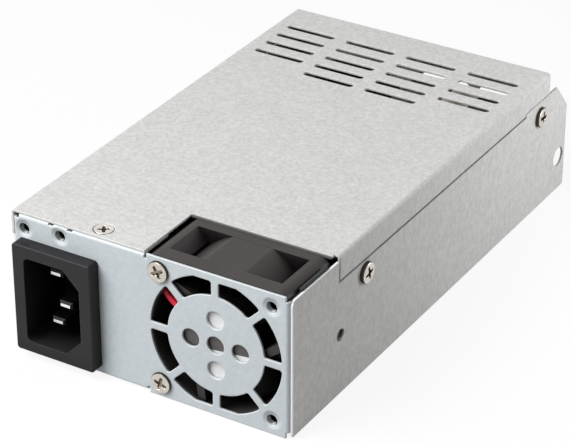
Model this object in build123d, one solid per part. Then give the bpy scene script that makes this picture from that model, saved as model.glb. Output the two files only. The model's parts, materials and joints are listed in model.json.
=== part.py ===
"""A slim 1U server power supply: a folded steel case with a mains inlet, a 40 mm fan and its electronics.

Millimetres. The origin lies at the bottom centre of the bounding box, +X to the right seen from the
mains inlet side, +Y from the inlet towards the cable exit, +Z up. The unit rests on its bottom plate.
"""
from build123d import *
import math
import os

os.makedirs("parts", exist_ok=True)

# The fan fills the height of the case
fan_size = 40.0
fan_depth = 20.0
fan_cover_gap = 0.25
fan_side_gap = 0.1
fan_face_gap = 0.1

# Case sheet metal
case_width = 81.5
case_depth = 138.0
sheet = 0.6
bend_radius = 0.9
sheet_gap = 0.1
wall_setback = 0.7
wall_corner_radius = 1.5
seam_from_top = 7.3
seam_gap = 0.4
fan_wall_from_top = 1.5
fan_wall_past_notch = 1.3
lap_length = 14.3
lap_rise = 0.8

# Fixing ear, the right side wall carried on past the rear
ear_reach = 12.0
ear_peak = 5.0
ear_drop = 8.1
ear_hole_radius = 2.9
ear_hole_inset = 4.0
ear_hole_height = 10.9

# Rear wall
rear_flange_reach = 8.0
rear_flange_height = 20.0
rear_slot_length = 15.0
rear_slot_width = 2.3
rear_slot_pitch = 5.0
rear_slot_rows = 5
rear_slot_column_pitch = 18.0
rear_slot_from_right = 14.0
rear_slot_first_height = 10.0
rear_slot_margin = 6.0
bush_hole_width = 26.0
bush_hole_height = 16.0
bush_from_left = 22.0
bush_below_middle = 1.25

# Top cover
cover_setback = 0.4
notch_gap = 0.3
notch_relief = 1.5
vent_length = 15.6
vent_width = 2.3
vent_side_margin = 4.1
vent_row_pitch = 5.8
vent_from_rear = 11.5
vent_rows = (4, 5, 5, 4)
tab_width = 9.0
tab_below_screw = 5.7
side_screw_below_seam = 3.7
side_screw_first = 35.5
side_screw_from_rear = 5.4
top_screw_from_left = 25.4
top_screw_from_face = 4.1
peep_hole_radius = 1.4
peep_hole_past_wall = 1.5
peep_hole_height = 17.8

# Front panel, its threaded holes given as (from the left, from the top)
panel_flange_reach = 18.0
panel_flange_low = 1.8
panel_flange_from_top = 1.8
fan_flange_from_top = 0.7
fan_flange_step = 5.8
panel_tongue_reach = 11.0
panel_split_past_fan = 0.5
panel_free_low = 0.2
panel_free_from_top = 0.4
relief_width = 0.8
relief_slot_length = 1.6
thread_radius = 1.55
thread_collar_radius = 2.05
thread_length = 1.8
corner_thread = (4.1, 4.3)
second_thread = (15.0, 3.3)

# Fan grille cut in the front panel
grille_past_duct = 0.3
grille_ring_width = 5.1
grille_flat_inset = 2.1
grille_spoke = 1.9
grille_corner_radius = 0.7
grille_hole_radius = 2.5
grille_hole_circle = 7.1
fan_screw_hole_radius = 2.2

# Fan housing
fan_corner_radius = 3.0
fan_hole_inset = 4.0
fan_hole_radius = 2.15
fan_hole_wall = 0.95
fan_post_lip = 0.5
fan_post_cut = 1.3
fan_front_rim = 4.2
fan_back_rim = 3.0
fan_flat_recess = 0.55
fan_duct_inset = 1.4
duct_wall = 1.6
motor_base_radius = 12.4
motor_base_front = 0.4
motor_base_back = 2.4
motor_base_round = 0.5
strut_width = 2.2
strut_back = 3.0
strut_root_angle = 119.0
strut_lean = 17.0
label_radius = 10.6
label_thickness = 0.1
bearing_tube_radius = 3.4
bearing_tube_end = 13.0

# Fan motor and impeller
bearing_radius = 2.4
bearing_inset = 0.5
shaft_radius = 1.0
shaft_clearance = 0.03
shaft_end_gap = 0.7
fan_board_radius = 9.0
fan_board_front = 2.5
fan_board_thickness = 0.8
stator_radius = 8.2
stator_front = 5.0
stator_back = 11.0
stator_slot_depth = 2.6
stator_slot_width = 7.0
stator_mouth = 1.2
coil_height = 1.5
coil_length = 3.6
coil_width = 3.2
coil_round = 0.8
air_gap = 0.5
magnet_thickness = 1.5
magnet_inset = 0.4
hub_wall = 1.0
hub_top = 1.6
hub_round = 1.2
hub_front = 4.3
hub_back = 19.2
hub_boss_radius = 2.4
hub_boss_gap = 0.6
blade_count = 7
blade_tip_gap = 0.5
blade_front = 4.9
blade_back = 18.6
blade_sweep = 9.0
blade_root_share = 0.8
blade_camber = 1.3
blade_thickness = 0.9
blade_root_thickness = 1.2

# Fan leads, their plug and its header on the board
fan_lead_angle = 148.0
fan_lead_radius = 0.65
fan_lead_y = 3.1
fan_lead_spacing = 1.6
fan_lead_clearance = 0.3
fan_lead_bend = 1.6
fan_lead_swing = 1.0
plug_to_choke = 0.2
plug_from_board_edge = 1.9
plug_width = 6.0
plug_depth = 5.0
plug_height = 6.4
plug_pin_pitch = 2.5
plug_latch = 0.6
plug_latch_width = 3.0
header_floor = 1.6
header_side = 0.6
header_lip = 1.6
header_wall = 0.8
header_height = 6.0

# Mains inlet, turned so that its chamfered side faces right
inlet_from_left = 14.3
inlet_below_middle = 2.15
inlet_flange_width = 23.8
inlet_flange_height = 30.9
inlet_proud = 3.7
inlet_corner_radius = 1.0
inlet_edge_round = 0.5
inlet_body_width = 19.4
inlet_body_height = 27.0
inlet_body_depth = 17.0
inlet_cutout_gap = 0.2
inlet_latch = 0.7
inlet_latch_width = 6.0
inlet_latch_length = 5.0
socket_width = 16.7
socket_height = 24.3
socket_chamfer = 4.7
socket_corner_radius = 1.6
socket_depth = 17.2
pin_width = 4.0
pin_thickness = 2.0
pin_spacing = 14.0
pin_stagger = 4.0
pin_recess = 4.7
earth_pin_recess = 2.7
pin_point = 0.6
tab_terminal_width = 4.8
tab_terminal_thickness = 0.8
tab_terminal_length = 6.0

# Mains leads and the earth lug
lead_radius = 0.95
lead_bend_share = 0.45
earth_lead_start = 4.0
lead_from_board_edge = 4.4
line_lead_fall = 5.0
lug_radius = 3.2
lug_thickness = 0.8
lug_tail_length = 3.4
lug_tail_width = 2.6
lug_past_tongue = 7.0
lug_lead_inset = 1.4
lug_screw_head_height = 1.8

# Screws
pan_head_radius = 2.9
pan_head_height = 1.3
case_screw_radius = 1.45
case_screw_length = 5.0
fan_head_radius = 3.05
fan_head_height = 1.0
fan_screw_radius = 2.1
fan_screw_length = 9.0
sunk_head_radius = 2.75
sunk_head_depth = 1.35
sunk_clearance = 0.12
recess_reach = 1.7
recess_width = 0.7
recess_depth = 0.9

# Circuit board and what holds it
film = 0.4
film_height = 20.5
film_before_board = 0.6
film_rear_gap = 1.0
film_hole_margin = 1.0
standoff_height = 4.4
standoff_across = 5.0
standoff_from_side = 3.4
standoff_from_front = 10.0
standoff_from_rear = 5.0
board_thickness = 1.6
board_side_gap = 2.0
board_front_gap = 3.0
board_rear_gap = 5.0
board_screw_radius = 1.3
board_screw_head_radius = 2.5
board_screw_head_height = 1.4
board_screw_length = 4.0
screw_gap = 0.5

# Cable bush at the rear
bush_rim = 1.8
bush_lip = 1.5
bush_inner_lip = 1.6
bush_fit = 0.1

# Where the case stands in the row frame
case_height = fan_size + 2 * fan_cover_gap
face_y = (inlet_proud - case_depth - ear_reach) / 2
rear_y = face_y + case_depth
ear_y = rear_y + ear_reach
half_width = case_width / 2
inner_x = half_width - sheet
panel_x = inner_x - sheet_gap
panel_back_y = face_y + sheet
seam_height = case_height - seam_from_top
fan_wall_height = case_height - fan_wall_from_top
side_screw_height = seam_height - side_screw_below_seam
side_screw_last = case_depth - side_screw_from_rear
tab_bottom = side_screw_height - tab_below_screw
panel_flange_high = case_height - panel_flange_from_top
panel_free_high = case_height - panel_free_from_top
fan_flange_high = case_height - fan_flange_from_top
bush_height = case_height / 2 - bush_below_middle
vent_column_pitch = (case_width - 2 * vent_side_margin - vent_length) / (len(vent_rows) - 1)
vent_last_row = case_depth - vent_from_rear

# Where the fan stands, and the notch, wall and grille round it
fan_left = panel_x - sheet - fan_side_gap - fan_size
fan_x = fan_left + fan_size / 2
fan_y = panel_back_y + fan_face_gap
fan_z = case_height / 2
notch_x = fan_left - notch_gap
notch_depth = sheet + fan_face_gap + fan_depth + notch_gap
fan_wall_length = notch_depth + fan_wall_past_notch
split_x = fan_left + panel_split_past_fan
fan_hole_spacing = fan_size - 2 * fan_hole_inset
duct_radius = fan_size / 2 - fan_duct_inset
hub_inner_radius = stator_radius + air_gap + magnet_thickness
hub_radius = hub_inner_radius + hub_wall
blade_tip_radius = duct_radius - blade_tip_gap
grille_outer_radius = duct_radius + grille_past_duct
grille_inner_radius = grille_outer_radius - grille_ring_width
grille_flat = fan_size / 2 - grille_flat_inset

# Where the inlet and the board stand
inlet_x = inlet_from_left - half_width
inlet_height = case_height / 2 - inlet_below_middle
inlet_front_y = face_y - inlet_proud
board_z = sheet + standoff_height
board_top = board_z + board_thickness
board_half = inner_x - board_side_gap
board_front = face_y + inlet_body_depth + tab_terminal_length + board_front_gap
board_back = rear_y - board_rear_gap
board_width = 2 * board_half
board_length = board_back - board_front
headroom = case_height - sheet - board_top
film_front = board_front - film_before_board
film_back = rear_y - rear_flange_reach - film_rear_gap


def block(x0, x1, y0, y1, z0, z1):
    """A box between two corners."""
    return Pos(x0, y0, z0) * Box(x1 - x0, y1 - y0, z1 - z0, align=(Align.MIN,) * 3)


def rod_x(radius, x0, x1, y, z):
    """A round bar along X."""
    bar = Cylinder(radius, x1 - x0, align=(Align.CENTER, Align.CENTER, Align.MIN))
    return Pos(x0, y, z) * Rot(0, 90, 0) * bar


def rod_y(radius, y0, y1, x=0, z=0):
    """A round bar along Y."""
    bar = Cylinder(radius, y1 - y0, align=(Align.CENTER, Align.CENTER, Align.MIN))
    return Pos(x, y0, z) * Rot(-90, 0, 0) * bar


def rod_z(radius, z0, z1, x=0, y=0):
    """A round bar along Z."""
    return Pos(x, y, z0) * Cylinder(radius, z1 - z0, align=(Align.CENTER, Align.CENTER, Align.MIN))


def slab_x(sketch, x0, x1):
    """Extrude a sketch drawn as (Y, Z) from x0 to x1."""
    plane = Plane(origin=(x0, 0, 0), x_dir=(0, 1, 0), z_dir=(1, 0, 0))
    return extrude(plane * sketch, x1 - x0, dir=(1, 0, 0))


def slab_y(sketch, y0, y1):
    """Extrude a sketch drawn as (X, Z) from y0 to y1."""
    plane = Plane(origin=(0, y0, 0), x_dir=(1, 0, 0), z_dir=(0, -1, 0))
    return extrude(plane * sketch, y1 - y0, dir=(0, 1, 0))


def slab_z(sketch, z0, z1):
    """Extrude a sketch drawn as (X, Y) from z0 to z1."""
    return extrude(Plane.XY.offset(z0) * sketch, z1 - z0, dir=(0, 0, 1))


def polygon(*points):
    """A closed outline left where its points are."""
    return Polygon(*points, align=None)


def round_corners(sketch, corners):
    """Round the corners of a sketch that lie nearest to the given (x, y, radius)."""
    for x, y, radius in corners:
        corner = sketch.vertices().sort_by_distance((x, y, 0))[0]
        sketch = fillet(corner, radius)
    return sketch


def group(shapes, place=Location()):
    """Several separate solids in one node, each moved to its place."""
    return Compound(children=[place * shape for shape in shapes])


def channel(width, height, radius):
    """A folded U section with its floor on the X axis, open at the top."""
    outer = Pos(0, height / 2) * Rectangle(width, height)
    inner = Pos(0, height / 2 + sheet) * Rectangle(width - 2 * sheet, height)
    section = outer - inner
    section = fillet(section.vertices().group_by(Axis.Y)[1], radius - sheet)
    return fillet(section.vertices().group_by(Axis.Y)[0], radius)


def cross_recess(depth):
    """The cutter for a cross recess that opens upwards at z = 0."""
    wide = Box(2 * recess_reach, recess_width, 2 * depth)
    return wide + Rot(0, 0, 90) * wide


def pan_screw(head_radius, head_height, radius, length):
    """A pan-head screw along Z: its head seats at z = 0 and its shank hangs below."""
    head = rod_z(head_radius, 0, head_height)
    head = fillet(head.edges().group_by(Axis.Z)[-1], head_height * 0.6)
    head -= Pos(0, 0, head_height) * cross_recess(recess_depth)
    return head + rod_z(radius, -length, 0)


def plain_screw(head_radius, head_height, radius, length):
    """A pan-head screw inside the case, along Z, with a bevelled head and no recess."""
    head = rod_z(head_radius, 0, head_height)
    head = chamfer(head.edges().group_by(Axis.Z)[-1], head_height * 0.4)
    return head + rod_z(radius, -length, 0)


# Case

def side_outline(fan_side):
    """The side wall seen along X; the fan side stands taller at the front and carries the ear."""
    front = face_y + wall_setback
    lap_y = rear_y - lap_length
    lap_z = seam_height + lap_rise
    if fan_side:
        seam_y = face_y + fan_wall_length
        outline = polygon(
            (front, 0),
            (front, fan_wall_height),
            (seam_y, fan_wall_height),
            (seam_y, seam_height),
            (lap_y, seam_height),
            (lap_y, lap_z),
            (rear_y + ear_peak, lap_z),
            (ear_y, lap_z - ear_drop),
            (ear_y, 0),
        )
        rounds = [
            (front, fan_wall_height, wall_corner_radius),
            (front, 0, wall_corner_radius),
            (ear_y, 0, wall_corner_radius),
        ]
        return round_corners(outline, rounds)
    outline = polygon(
        (front, 0),
        (front, seam_height),
        (lap_y, seam_height),
        (lap_y, lap_z),
        (rear_y, lap_z),
        (rear_y, 0),
    )
    return round_corners(outline, [(front, 0, wall_corner_radius)])


def rear_vents():
    """The rows of slots in the rear wall, as many columns as the bush leaves room for, drawn as (X, Z)."""
    room = case_width - bush_from_left - bush_hole_width / 2 - rear_slot_margin
    slots = Sketch()
    for column in range(int(room // rear_slot_column_pitch)):
        x = half_width - rear_slot_from_right - column * rear_slot_column_pitch
        for row in range(rear_slot_rows):
            z = rear_slot_first_height + row * rear_slot_pitch
            slots += Pos(x, z) * SlotOverall(rear_slot_length, rear_slot_width)
    return slots


def base_chassis():
    """Bottom, both side walls and the rear wall, folded from one sheet."""
    walls = slab_y(channel(case_width, fan_wall_height, bend_radius), face_y + wall_setback, ear_y)
    keep = slab_x(side_outline(True), 0, half_width) + slab_x(side_outline(False), -half_width, 0)
    base = walls & keep
    base -= block(-half_width, inner_x, rear_y, ear_y + 1, -1, case_height)
    fan_back = fan_y + fan_depth
    base -= block(fan_left - seam_gap, inner_x, face_y, fan_back + seam_gap, -1, bend_radius)
    # the rear wall is folded up from the bottom between the side walls
    top = case_height - sheet - sheet_gap
    fold = rear_y - 2 * bend_radius
    base -= block(-panel_x, panel_x, fold, rear_y + 1, -1, sheet + 1)
    rear = polygon(
        (fold - 1, 0),
        (rear_y, 0),
        (rear_y, top),
        (rear_y - sheet, top),
        (rear_y - sheet, sheet),
        (fold - 1, sheet),
    )
    rear = round_corners(rear, [(rear_y - sheet, sheet, bend_radius - sheet), (rear_y, 0, bend_radius)])
    base += slab_x(rear, -panel_x, panel_x)
    for side in (-1, 1):
        x0, x1 = sorted((side * panel_x, side * (panel_x - sheet)))
        base += block(x0, x1, rear_y - rear_flange_reach, rear_y - sheet / 2,
                      panel_flange_low, rear_flange_height)
    hole = Pos(bush_from_left - half_width, bush_height) * SlotOverall(bush_hole_width, bush_hole_height)
    base -= slab_y(hole + rear_vents(), rear_y - 2 * sheet, rear_y + sheet)
    # holes in the side walls
    for side in (-1, 1):
        x0, x1 = sorted((side * (inner_x - 1), side * (half_width + 1)))
        for from_face in (side_screw_first, side_screw_last):
            base -= rod_x(case_screw_radius + sheet_gap, x0, x1, face_y + from_face, side_screw_height)
    peep_y = face_y + fan_wall_length + peep_hole_past_wall
    base -= rod_x(peep_hole_radius, inner_x - 1, half_width + 1, peep_y, peep_hole_height)
    base -= rod_x(ear_hole_radius, inner_x - 1, half_width + 1, ear_y - ear_hole_inset, ear_hole_height)
    return base


def vent_slots():
    """The rows of slots in the top cover, drawn as (X, Y)."""
    slots = Sketch()
    first_column = -vent_column_pitch * (len(vent_rows) - 1) / 2
    for column, rows in enumerate(vent_rows):
        for row in range(rows):
            x = first_column + column * vent_column_pitch
            y = face_y + vent_last_row - row * vent_row_pitch
            slots += Pos(x, y) * SlotOverall(vent_length, vent_width)
    return slots


def sunk_cutter(clearance):
    """The room that the countersunk cover screw needs, point down from z = 0."""
    head = Pos(0, 0, -sunk_head_depth) * Cone(
        case_screw_radius + clearance, sunk_head_radius + clearance, sunk_head_depth,
        align=(Align.CENTER, Align.CENTER, Align.MIN))
    return head + rod_z(case_screw_radius + clearance, -case_screw_length - 1, 0)


def top_screw_place():
    """The point where the countersunk screw meets the cover's top."""
    return Pos(top_screw_from_left - half_width, face_y + top_screw_from_face, case_height)


def top_cover():
    """The lid: a top plate with vents and a fan notch, and two short side flanges."""
    depth = case_height - seam_height - seam_gap
    section = Pos(0, case_height) * Rot(0, 0, 180) * channel(case_width, depth, bend_radius)
    cover = slab_y(section, face_y + cover_setback, rear_y)
    cover -= block(notch_x, half_width + 1, face_y - 1, face_y + notch_depth, 0, case_height + 1)
    flange_front = face_y + fan_wall_length + seam_gap
    cover -= block(half_width - notch_relief, half_width + 1, face_y - 1, flange_front, 0, case_height + 1)
    lap_y = rear_y - lap_length - seam_gap
    lap_z = seam_height + lap_rise + seam_gap
    for side in (-1, 1):
        outer0, outer1 = sorted((side * (inner_x - sheet), side * (half_width + 1)))
        cover -= block(outer0, outer1, lap_y, rear_y + 1, 0, lap_z)
        # tabs welded inside the flanges reach down behind the side walls and hold the screws
        tab0, tab1 = sorted((side * (inner_x - sheet), side * inner_x))
        x0, x1 = sorted((side * (inner_x - 2), side * (inner_x + 1)))
        for from_face in (side_screw_first, side_screw_last):
            y = face_y + from_face
            tab = block(tab0, tab1, y - tab_width / 2, y + tab_width / 2,
                        tab_bottom, case_height - 2 * bend_radius)
            cover += tab
            cover -= rod_x(case_screw_radius, x0, x1, y, side_screw_height)
    cover -= slab_z(vent_slots(), case_height - 2 * sheet, case_height + 1)
    cover -= top_screw_place() * sunk_cutter(sunk_clearance)
    return cover


def thread_places():
    """Centres of the threaded holes in the front panel, as (X, Z)."""
    half = fan_hole_spacing / 2
    return [
        (corner_thread[0] - half_width, case_height - corner_thread[1]),
        (second_thread[0] - half_width, case_height - second_thread[1]),
        (fan_x + half, fan_z + half),
        (fan_x + half, fan_z - half),
    ]


def fan_screw_places():
    """Centres of the two screws that hold the fan, as (X, Z)."""
    half = fan_hole_spacing / 2
    return [(fan_x - half, fan_z + half), (fan_x - half, fan_z - half)]


def grille():
    """The finger guard cut into the panel: eight sector slots and five holes, drawn as (X, Z)."""
    ring = Circle(grille_outer_radius) - Circle(grille_inner_radius)
    for turn in range(4):
        ring -= Rot(0, 0, 45 * turn) * Rectangle(grille_spoke, 3 * grille_outer_radius)
    ring &= Rectangle(3 * grille_outer_radius, 2 * grille_flat)
    ring = fillet(ring.vertices(), grille_corner_radius)
    ring += Circle(grille_hole_radius)
    for turn in range(4):
        ring += Rot(0, 0, 90 * turn) * Pos(grille_hole_circle, 0) * Circle(grille_hole_radius)
    return Pos(fan_x, fan_z) * ring


def front_panel():
    """The mains and fan panel: side flanges nest in the side walls, tongues lie under lid and over floor."""
    u_front = Pos(0, face_y) * channel(2 * panel_x, panel_flange_reach, bend_radius)
    panel = slab_z(u_front, panel_flange_low, panel_flange_high)
    # top and bottom tongues on the inlet side
    low = sheet
    high = case_height - sheet
    tongue = Rot(0, 0, -90) * channel(high - low, panel_tongue_reach, bend_radius)
    tongue = Pos(face_y, (low + high) / 2) * tongue
    panel += slab_x(tongue, -panel_x + 2 * bend_radius, split_x - relief_width)
    # the plain part in front of the fan and the relief notches beside it
    panel += block(split_x - relief_width, split_x, face_y, panel_back_y,
                   low + relief_slot_length, high - relief_slot_length)
    panel += block(split_x, panel_x - bend_radius, face_y, panel_back_y, panel_free_low, panel_free_high)
    panel += block(panel_x - sheet, panel_x, face_y + fan_flange_step, face_y + panel_flange_reach,
                   panel_flange_high - 1, fan_flange_high)
    # slots that free the folds beside the second thread
    for offset in (-1, 1):
        x = second_thread[0] - half_width + offset * (thread_collar_radius + relief_width)
        panel -= block(x - relief_slot_length / 2, x + relief_slot_length / 2, face_y - 1,
                       face_y + panel_tongue_reach / 4, high - sheet, high + 1)
    # holes
    cutout = Rectangle(inlet_body_width + 2 * inlet_cutout_gap, inlet_body_height + 2 * inlet_cutout_gap)
    panel -= slab_y(Pos(inlet_x, inlet_height) * cutout, face_y - 1, panel_back_y + 1)
    panel -= slab_y(grille(), face_y - 1, panel_back_y + 1)
    for x, z in fan_screw_places():
        panel -= rod_y(fan_screw_hole_radius, face_y - 1, panel_back_y + 1, x, z)
    for x, z in thread_places():
        panel += rod_y(thread_collar_radius, face_y, face_y + thread_length, x, z)
        panel -= rod_y(thread_radius, face_y - 1, face_y + thread_length + 1, x, z)
    panel -= top_screw_place() * sunk_cutter(sunk_clearance)
    return panel


def cover_top_screw():
    """The countersunk screw through the lid into the panel's tongue."""
    screw = sunk_cutter(0) - cross_recess(recess_depth)
    screw -= rod_z(case_screw_radius * 2, -case_screw_length - 2, -case_screw_length)
    return top_screw_place() * screw


def cover_side_screws():
    """Pan-head screws through the side walls into the lid's tabs."""
    screws = []
    for side in (-1, 1):
        for from_face in (side_screw_first, side_screw_last):
            screw = pan_screw(pan_head_radius, pan_head_height, case_screw_radius, case_screw_length)
            place = Pos(side * half_width, face_y + from_face, side_screw_height)
            screws.append(place * Rot(0, side * 90, 0) * screw)
    return group(screws)


def fan_screws():
    """Pan-head screws through the panel into the fan's corner holes."""
    screws = []
    for x, z in fan_screw_places():
        screw = pan_screw(fan_head_radius, fan_head_height, fan_screw_radius, fan_screw_length)
        screws.append(Pos(x, face_y, z) * Rot(90, 0, 0) * screw)
    return group(screws)


def cable_bush():
    """The moulded bush that lines the cable exit in the rear wall."""
    width = bush_hole_width - 2 * bush_fit
    height = bush_hole_height - 2 * bush_fit
    neck = SlotOverall(width, height)
    flange = SlotOverall(bush_hole_width + 2 * bush_lip, bush_hole_height + 2 * bush_lip)
    bore = SlotOverall(width - 2 * bush_rim, height - 2 * bush_rim)
    body = slab_y(flange, rear_y, rear_y + bush_lip)
    body = chamfer(body.edges().group_by(Axis.Y)[-1], bush_lip / 3)
    body += slab_y(neck, rear_y - sheet, rear_y)
    body += slab_y(flange, rear_y - sheet - bush_inner_lip, rear_y - sheet)
    body -= slab_y(bore, rear_y - sheet - bush_inner_lip - 1, rear_y + bush_lip + 1)
    return Pos(bush_from_left - half_width, 0, bush_height) * body


def insulation_film():
    """The folded plastic film between the board and the case."""
    x = inner_x - sheet - 2 * sheet_gap
    section = (Pos(0, sheet + film_height / 2) * Rectangle(2 * x, film_height)
               - Pos(0, sheet + film + film_height / 2) * Rectangle(2 * (x - film), film_height))
    body = slab_y(section, film_front, film_back)
    for px, py in standoff_places():
        body -= rod_z(standoff_across / 2 + film_hole_margin, 0, 2 * sheet + film, px, py)
    return body


# Fan, drawn about its own axis with its front face at y = 0

fan_place = Pos(fan_x, fan_y, fan_z)


def at_fan(shape):
    """Move a piece drawn about the fan axis to its place behind the panel."""
    return fan_place * shape


def fan_corner(turn):
    """The moulded corner that holds one screw hole, drawn as (X, Z)."""
    half = fan_size / 2
    hole = fan_hole_spacing / 2
    inner = hole - fan_hole_radius - fan_hole_wall
    corner = polygon(
        (half, half),
        (hole, half),
        (inner, hole + fan_post_lip),
        (inner, inner + fan_post_cut),
        (inner + fan_post_cut, inner),
        (hole + fan_post_lip, inner),
        (half, hole),
    )
    return Rot(0, 0, 90 * turn) * corner


def strut(angle):
    """One leaning strut from the motor base to the duct, drawn as (X, Z)."""
    root = math.radians(angle)
    tip = math.radians(angle + strut_lean)
    r0 = motor_base_radius - 1
    r1 = duct_radius + duct_wall / 2
    x0, z0 = r0 * math.cos(root), r0 * math.sin(root)
    x1, z1 = r1 * math.cos(tip), r1 * math.sin(tip)
    length = math.hypot(x1 - x0, z1 - z0)
    turn = math.degrees(math.atan2(z1 - z0, x1 - x0))
    return Pos((x0 + x1) / 2, (z0 + z1) / 2) * Rot(0, 0, turn) * Rectangle(length, strut_width)


def fan_frame():
    """The square fan housing with its duct, struts, motor base and bearing tube."""
    square = RectangleRounded(fan_size, fan_size, fan_corner_radius)
    flat = fan_size - 2 * fan_flat_recess
    waist = Circle(duct_radius + duct_wall) & Rectangle(flat, flat)
    for turn in range(4):
        waist += fan_corner(turn)
    waist &= square
    frame = slab_y(square, 0, fan_front_rim)
    frame += slab_y(waist, fan_front_rim, fan_depth - fan_back_rim)
    frame += slab_y(square, fan_depth - fan_back_rim, fan_depth)
    frame -= rod_y(duct_radius, -1, fan_depth + 1)
    half = fan_hole_spacing / 2
    for x in (-half, half):
        for z in (-half, half):
            frame -= rod_y(fan_hole_radius, -1, fan_depth + 1, x, z)
    for turn in range(3):
        frame += slab_y(strut(strut_root_angle + 120 * turn), motor_base_front, strut_back)
    base = rod_y(motor_base_radius, motor_base_front, motor_base_back)
    frame += fillet(base.edges().group_by(Axis.Y)[0], motor_base_round)
    frame += rod_y(bearing_tube_radius, motor_base_back, bearing_tube_end)
    frame -= rod_y(bearing_radius, motor_base_back, bearing_tube_end + 1)
    # the gap where the leads leave through the side
    deep = fan_lead_radius + fan_lead_clearance
    wide = deep + fan_lead_spacing / 2
    gap = block(motor_base_radius + 1, fan_size, fan_lead_y - deep, fan_lead_y + deep, -wide, wide)
    frame -= Rot(0, -fan_lead_angle, 0) * gap
    return at_fan(frame)


def fan_label():
    """The plain round foil on the motor base."""
    return at_fan(rod_y(label_radius, motor_base_front - label_thickness, motor_base_front))


def fan_bearing():
    """The sleeve bearing pressed into the tube."""
    end = bearing_tube_end - bearing_inset
    sleeve = rod_y(bearing_radius, motor_base_back, end)
    sleeve -= rod_y(shaft_radius + shaft_clearance, motor_base_back + bearing_inset, end + 1)
    return at_fan(sleeve)


def fan_board():
    """The small ring board that drives the fan motor."""
    back = fan_board_front + fan_board_thickness
    ring = rod_y(fan_board_radius, fan_board_front, back)
    ring -= rod_y(bearing_tube_radius, fan_board_front - 1, back + 1)
    return at_fan(ring)


def fan_stator():
    """The laminated four-pole core on the bearing tube."""
    core = Circle(stator_radius)
    for turn in range(4):
        slot = Rectangle(stator_slot_depth, stator_slot_width)
        slot = Pos(stator_radius - stator_slot_depth * 0.85, 0) * slot
        mouth = Pos(stator_radius, 0) * Rectangle(2 * stator_mouth, stator_mouth)
        core -= Rot(0, 0, 45 + 90 * turn) * (slot + mouth)
    core -= Circle(bearing_tube_radius)
    return at_fan(slab_y(core, stator_front + coil_height, stator_back - coil_height))


def fan_windings():
    """The four coils that lie over the stator's ends."""
    pad = RectangleRounded(coil_length, coil_width, coil_round)
    pad = Pos((bearing_tube_radius + stator_radius) / 2, 0) * pad
    coils = []
    for turn in range(4):
        for start in (stator_front, stator_back - coil_height):
            coils.append(slab_y(Rot(0, 0, 90 * turn) * pad, start, start + coil_height))
    return group(coils, fan_place)


def blade_section(radius, sweep, thickness):
    """A thin cambered strip on a plane square to the radius; local X runs round, local Y runs along -Y."""
    front = blade_front
    back = blade_back
    middle = (front + back) / 2
    half = sweep / 2
    bow = blade_camber
    skin = thickness / 2
    plane = Plane(origin=(radius, 0, 0), x_dir=(0, 0, 1), z_dir=(1, 0, 0))
    upper = ThreePointArc((-half, -front), (bow + skin, -middle), (half, -back))
    lower = ThreePointArc((half, -back), (bow - skin, -middle), (-half, -front))
    return plane * make_face([upper, lower])


def fan_impeller():
    """The hub cup with its swept blades."""
    hub = rod_y(hub_radius, hub_front, hub_back)
    hub = fillet(hub.edges().group_by(Axis.Y)[-1], hub_round)
    hub -= rod_y(hub_inner_radius, hub_front - 1, hub_back - hub_top)
    hub += rod_y(hub_boss_radius, bearing_tube_end + hub_boss_gap, hub_back - hub_top)
    hub -= rod_y(shaft_radius, 0, hub_back - hub_top / 2)
    root = blade_section(hub_inner_radius - magnet_thickness, blade_sweep * blade_root_share,
                         blade_root_thickness)
    tip = blade_section(blade_tip_radius + 1, blade_sweep, blade_thickness)
    blade = loft([root, tip])
    blade &= rod_y(blade_tip_radius, 0, fan_depth)
    blade -= rod_y(hub_radius - hub_wall / 2, -1, fan_depth + 1)
    for number in range(blade_count):
        hub += Rot(0, 360 / blade_count * number, 0) * blade
    return at_fan(hub)


def fan_magnet():
    """The ring magnet inside the hub."""
    ring = rod_y(hub_inner_radius, hub_front + magnet_inset, stator_back + 1)
    ring -= rod_y(stator_radius + air_gap, hub_front - 1, stator_back + 2)
    return at_fan(ring)


def fan_shaft():
    """The shaft, fixed in the hub and running in the sleeve."""
    return at_fan(rod_y(shaft_radius, motor_base_back + shaft_end_gap, hub_back - hub_top / 2))


def fan_plug_place():
    """Front left corner of the fan plug's body over the board, its header beside the large choke."""
    x = board_x(pfc_x - pfc_radius) - plug_to_choke - header_side - plug_width
    return x, board_front + plug_from_board_edge


def fan_lead(side):
    """One fan lead: out of the motor, through the gap in the frame, back and down to its plug."""
    angle = math.radians(fan_lead_angle)
    cos, sin = math.cos(angle), math.sin(angle)
    shift = side * fan_lead_spacing / 2
    start_x = fan_x + fan_board_radius * cos - shift * sin
    start_z = fan_z + fan_board_radius * sin + shift * cos
    lead_y = fan_y + fan_lead_y
    out_x = fan_left - fan_lead_radius - fan_lead_swing
    out_z = start_z + (out_x - start_x) / cos * sin
    plug_x, plug_y = fan_plug_place()
    down_x = plug_x + plug_width / 2 + side * plug_pin_pitch / 2
    down_y = plug_y + plug_depth / 2
    points = [
        (start_x, lead_y, start_z),
        (out_x, lead_y, out_z),
        (out_x - fan_lead_swing, fan_y + fan_depth * 0.7, out_z + fan_lead_swing),
        (down_x, down_y, out_z - fan_lead_bend),
        (down_x, down_y, board_top + header_floor + plug_height),
    ]
    route = FilletPolyline(*points, radius=fan_lead_bend)
    first = Vector(*points[1]) - Vector(*points[0])
    section = Plane(origin=points[0], z_dir=first) * Circle(fan_lead_radius)
    return sweep(section, path=route)


def fan_plug():
    """The plug that carries the two fan leads, with its latch in front."""
    x, y = fan_plug_place()
    low = board_top + header_floor
    middle = x + plug_width / 2
    body = block(x, x + plug_width, y, y + plug_depth, low, low + plug_height)
    return body + block(middle - plug_latch_width / 2, middle + plug_latch_width / 2, y - plug_latch, y,
                        low + plug_latch, low + plug_height - header_floor)


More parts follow.
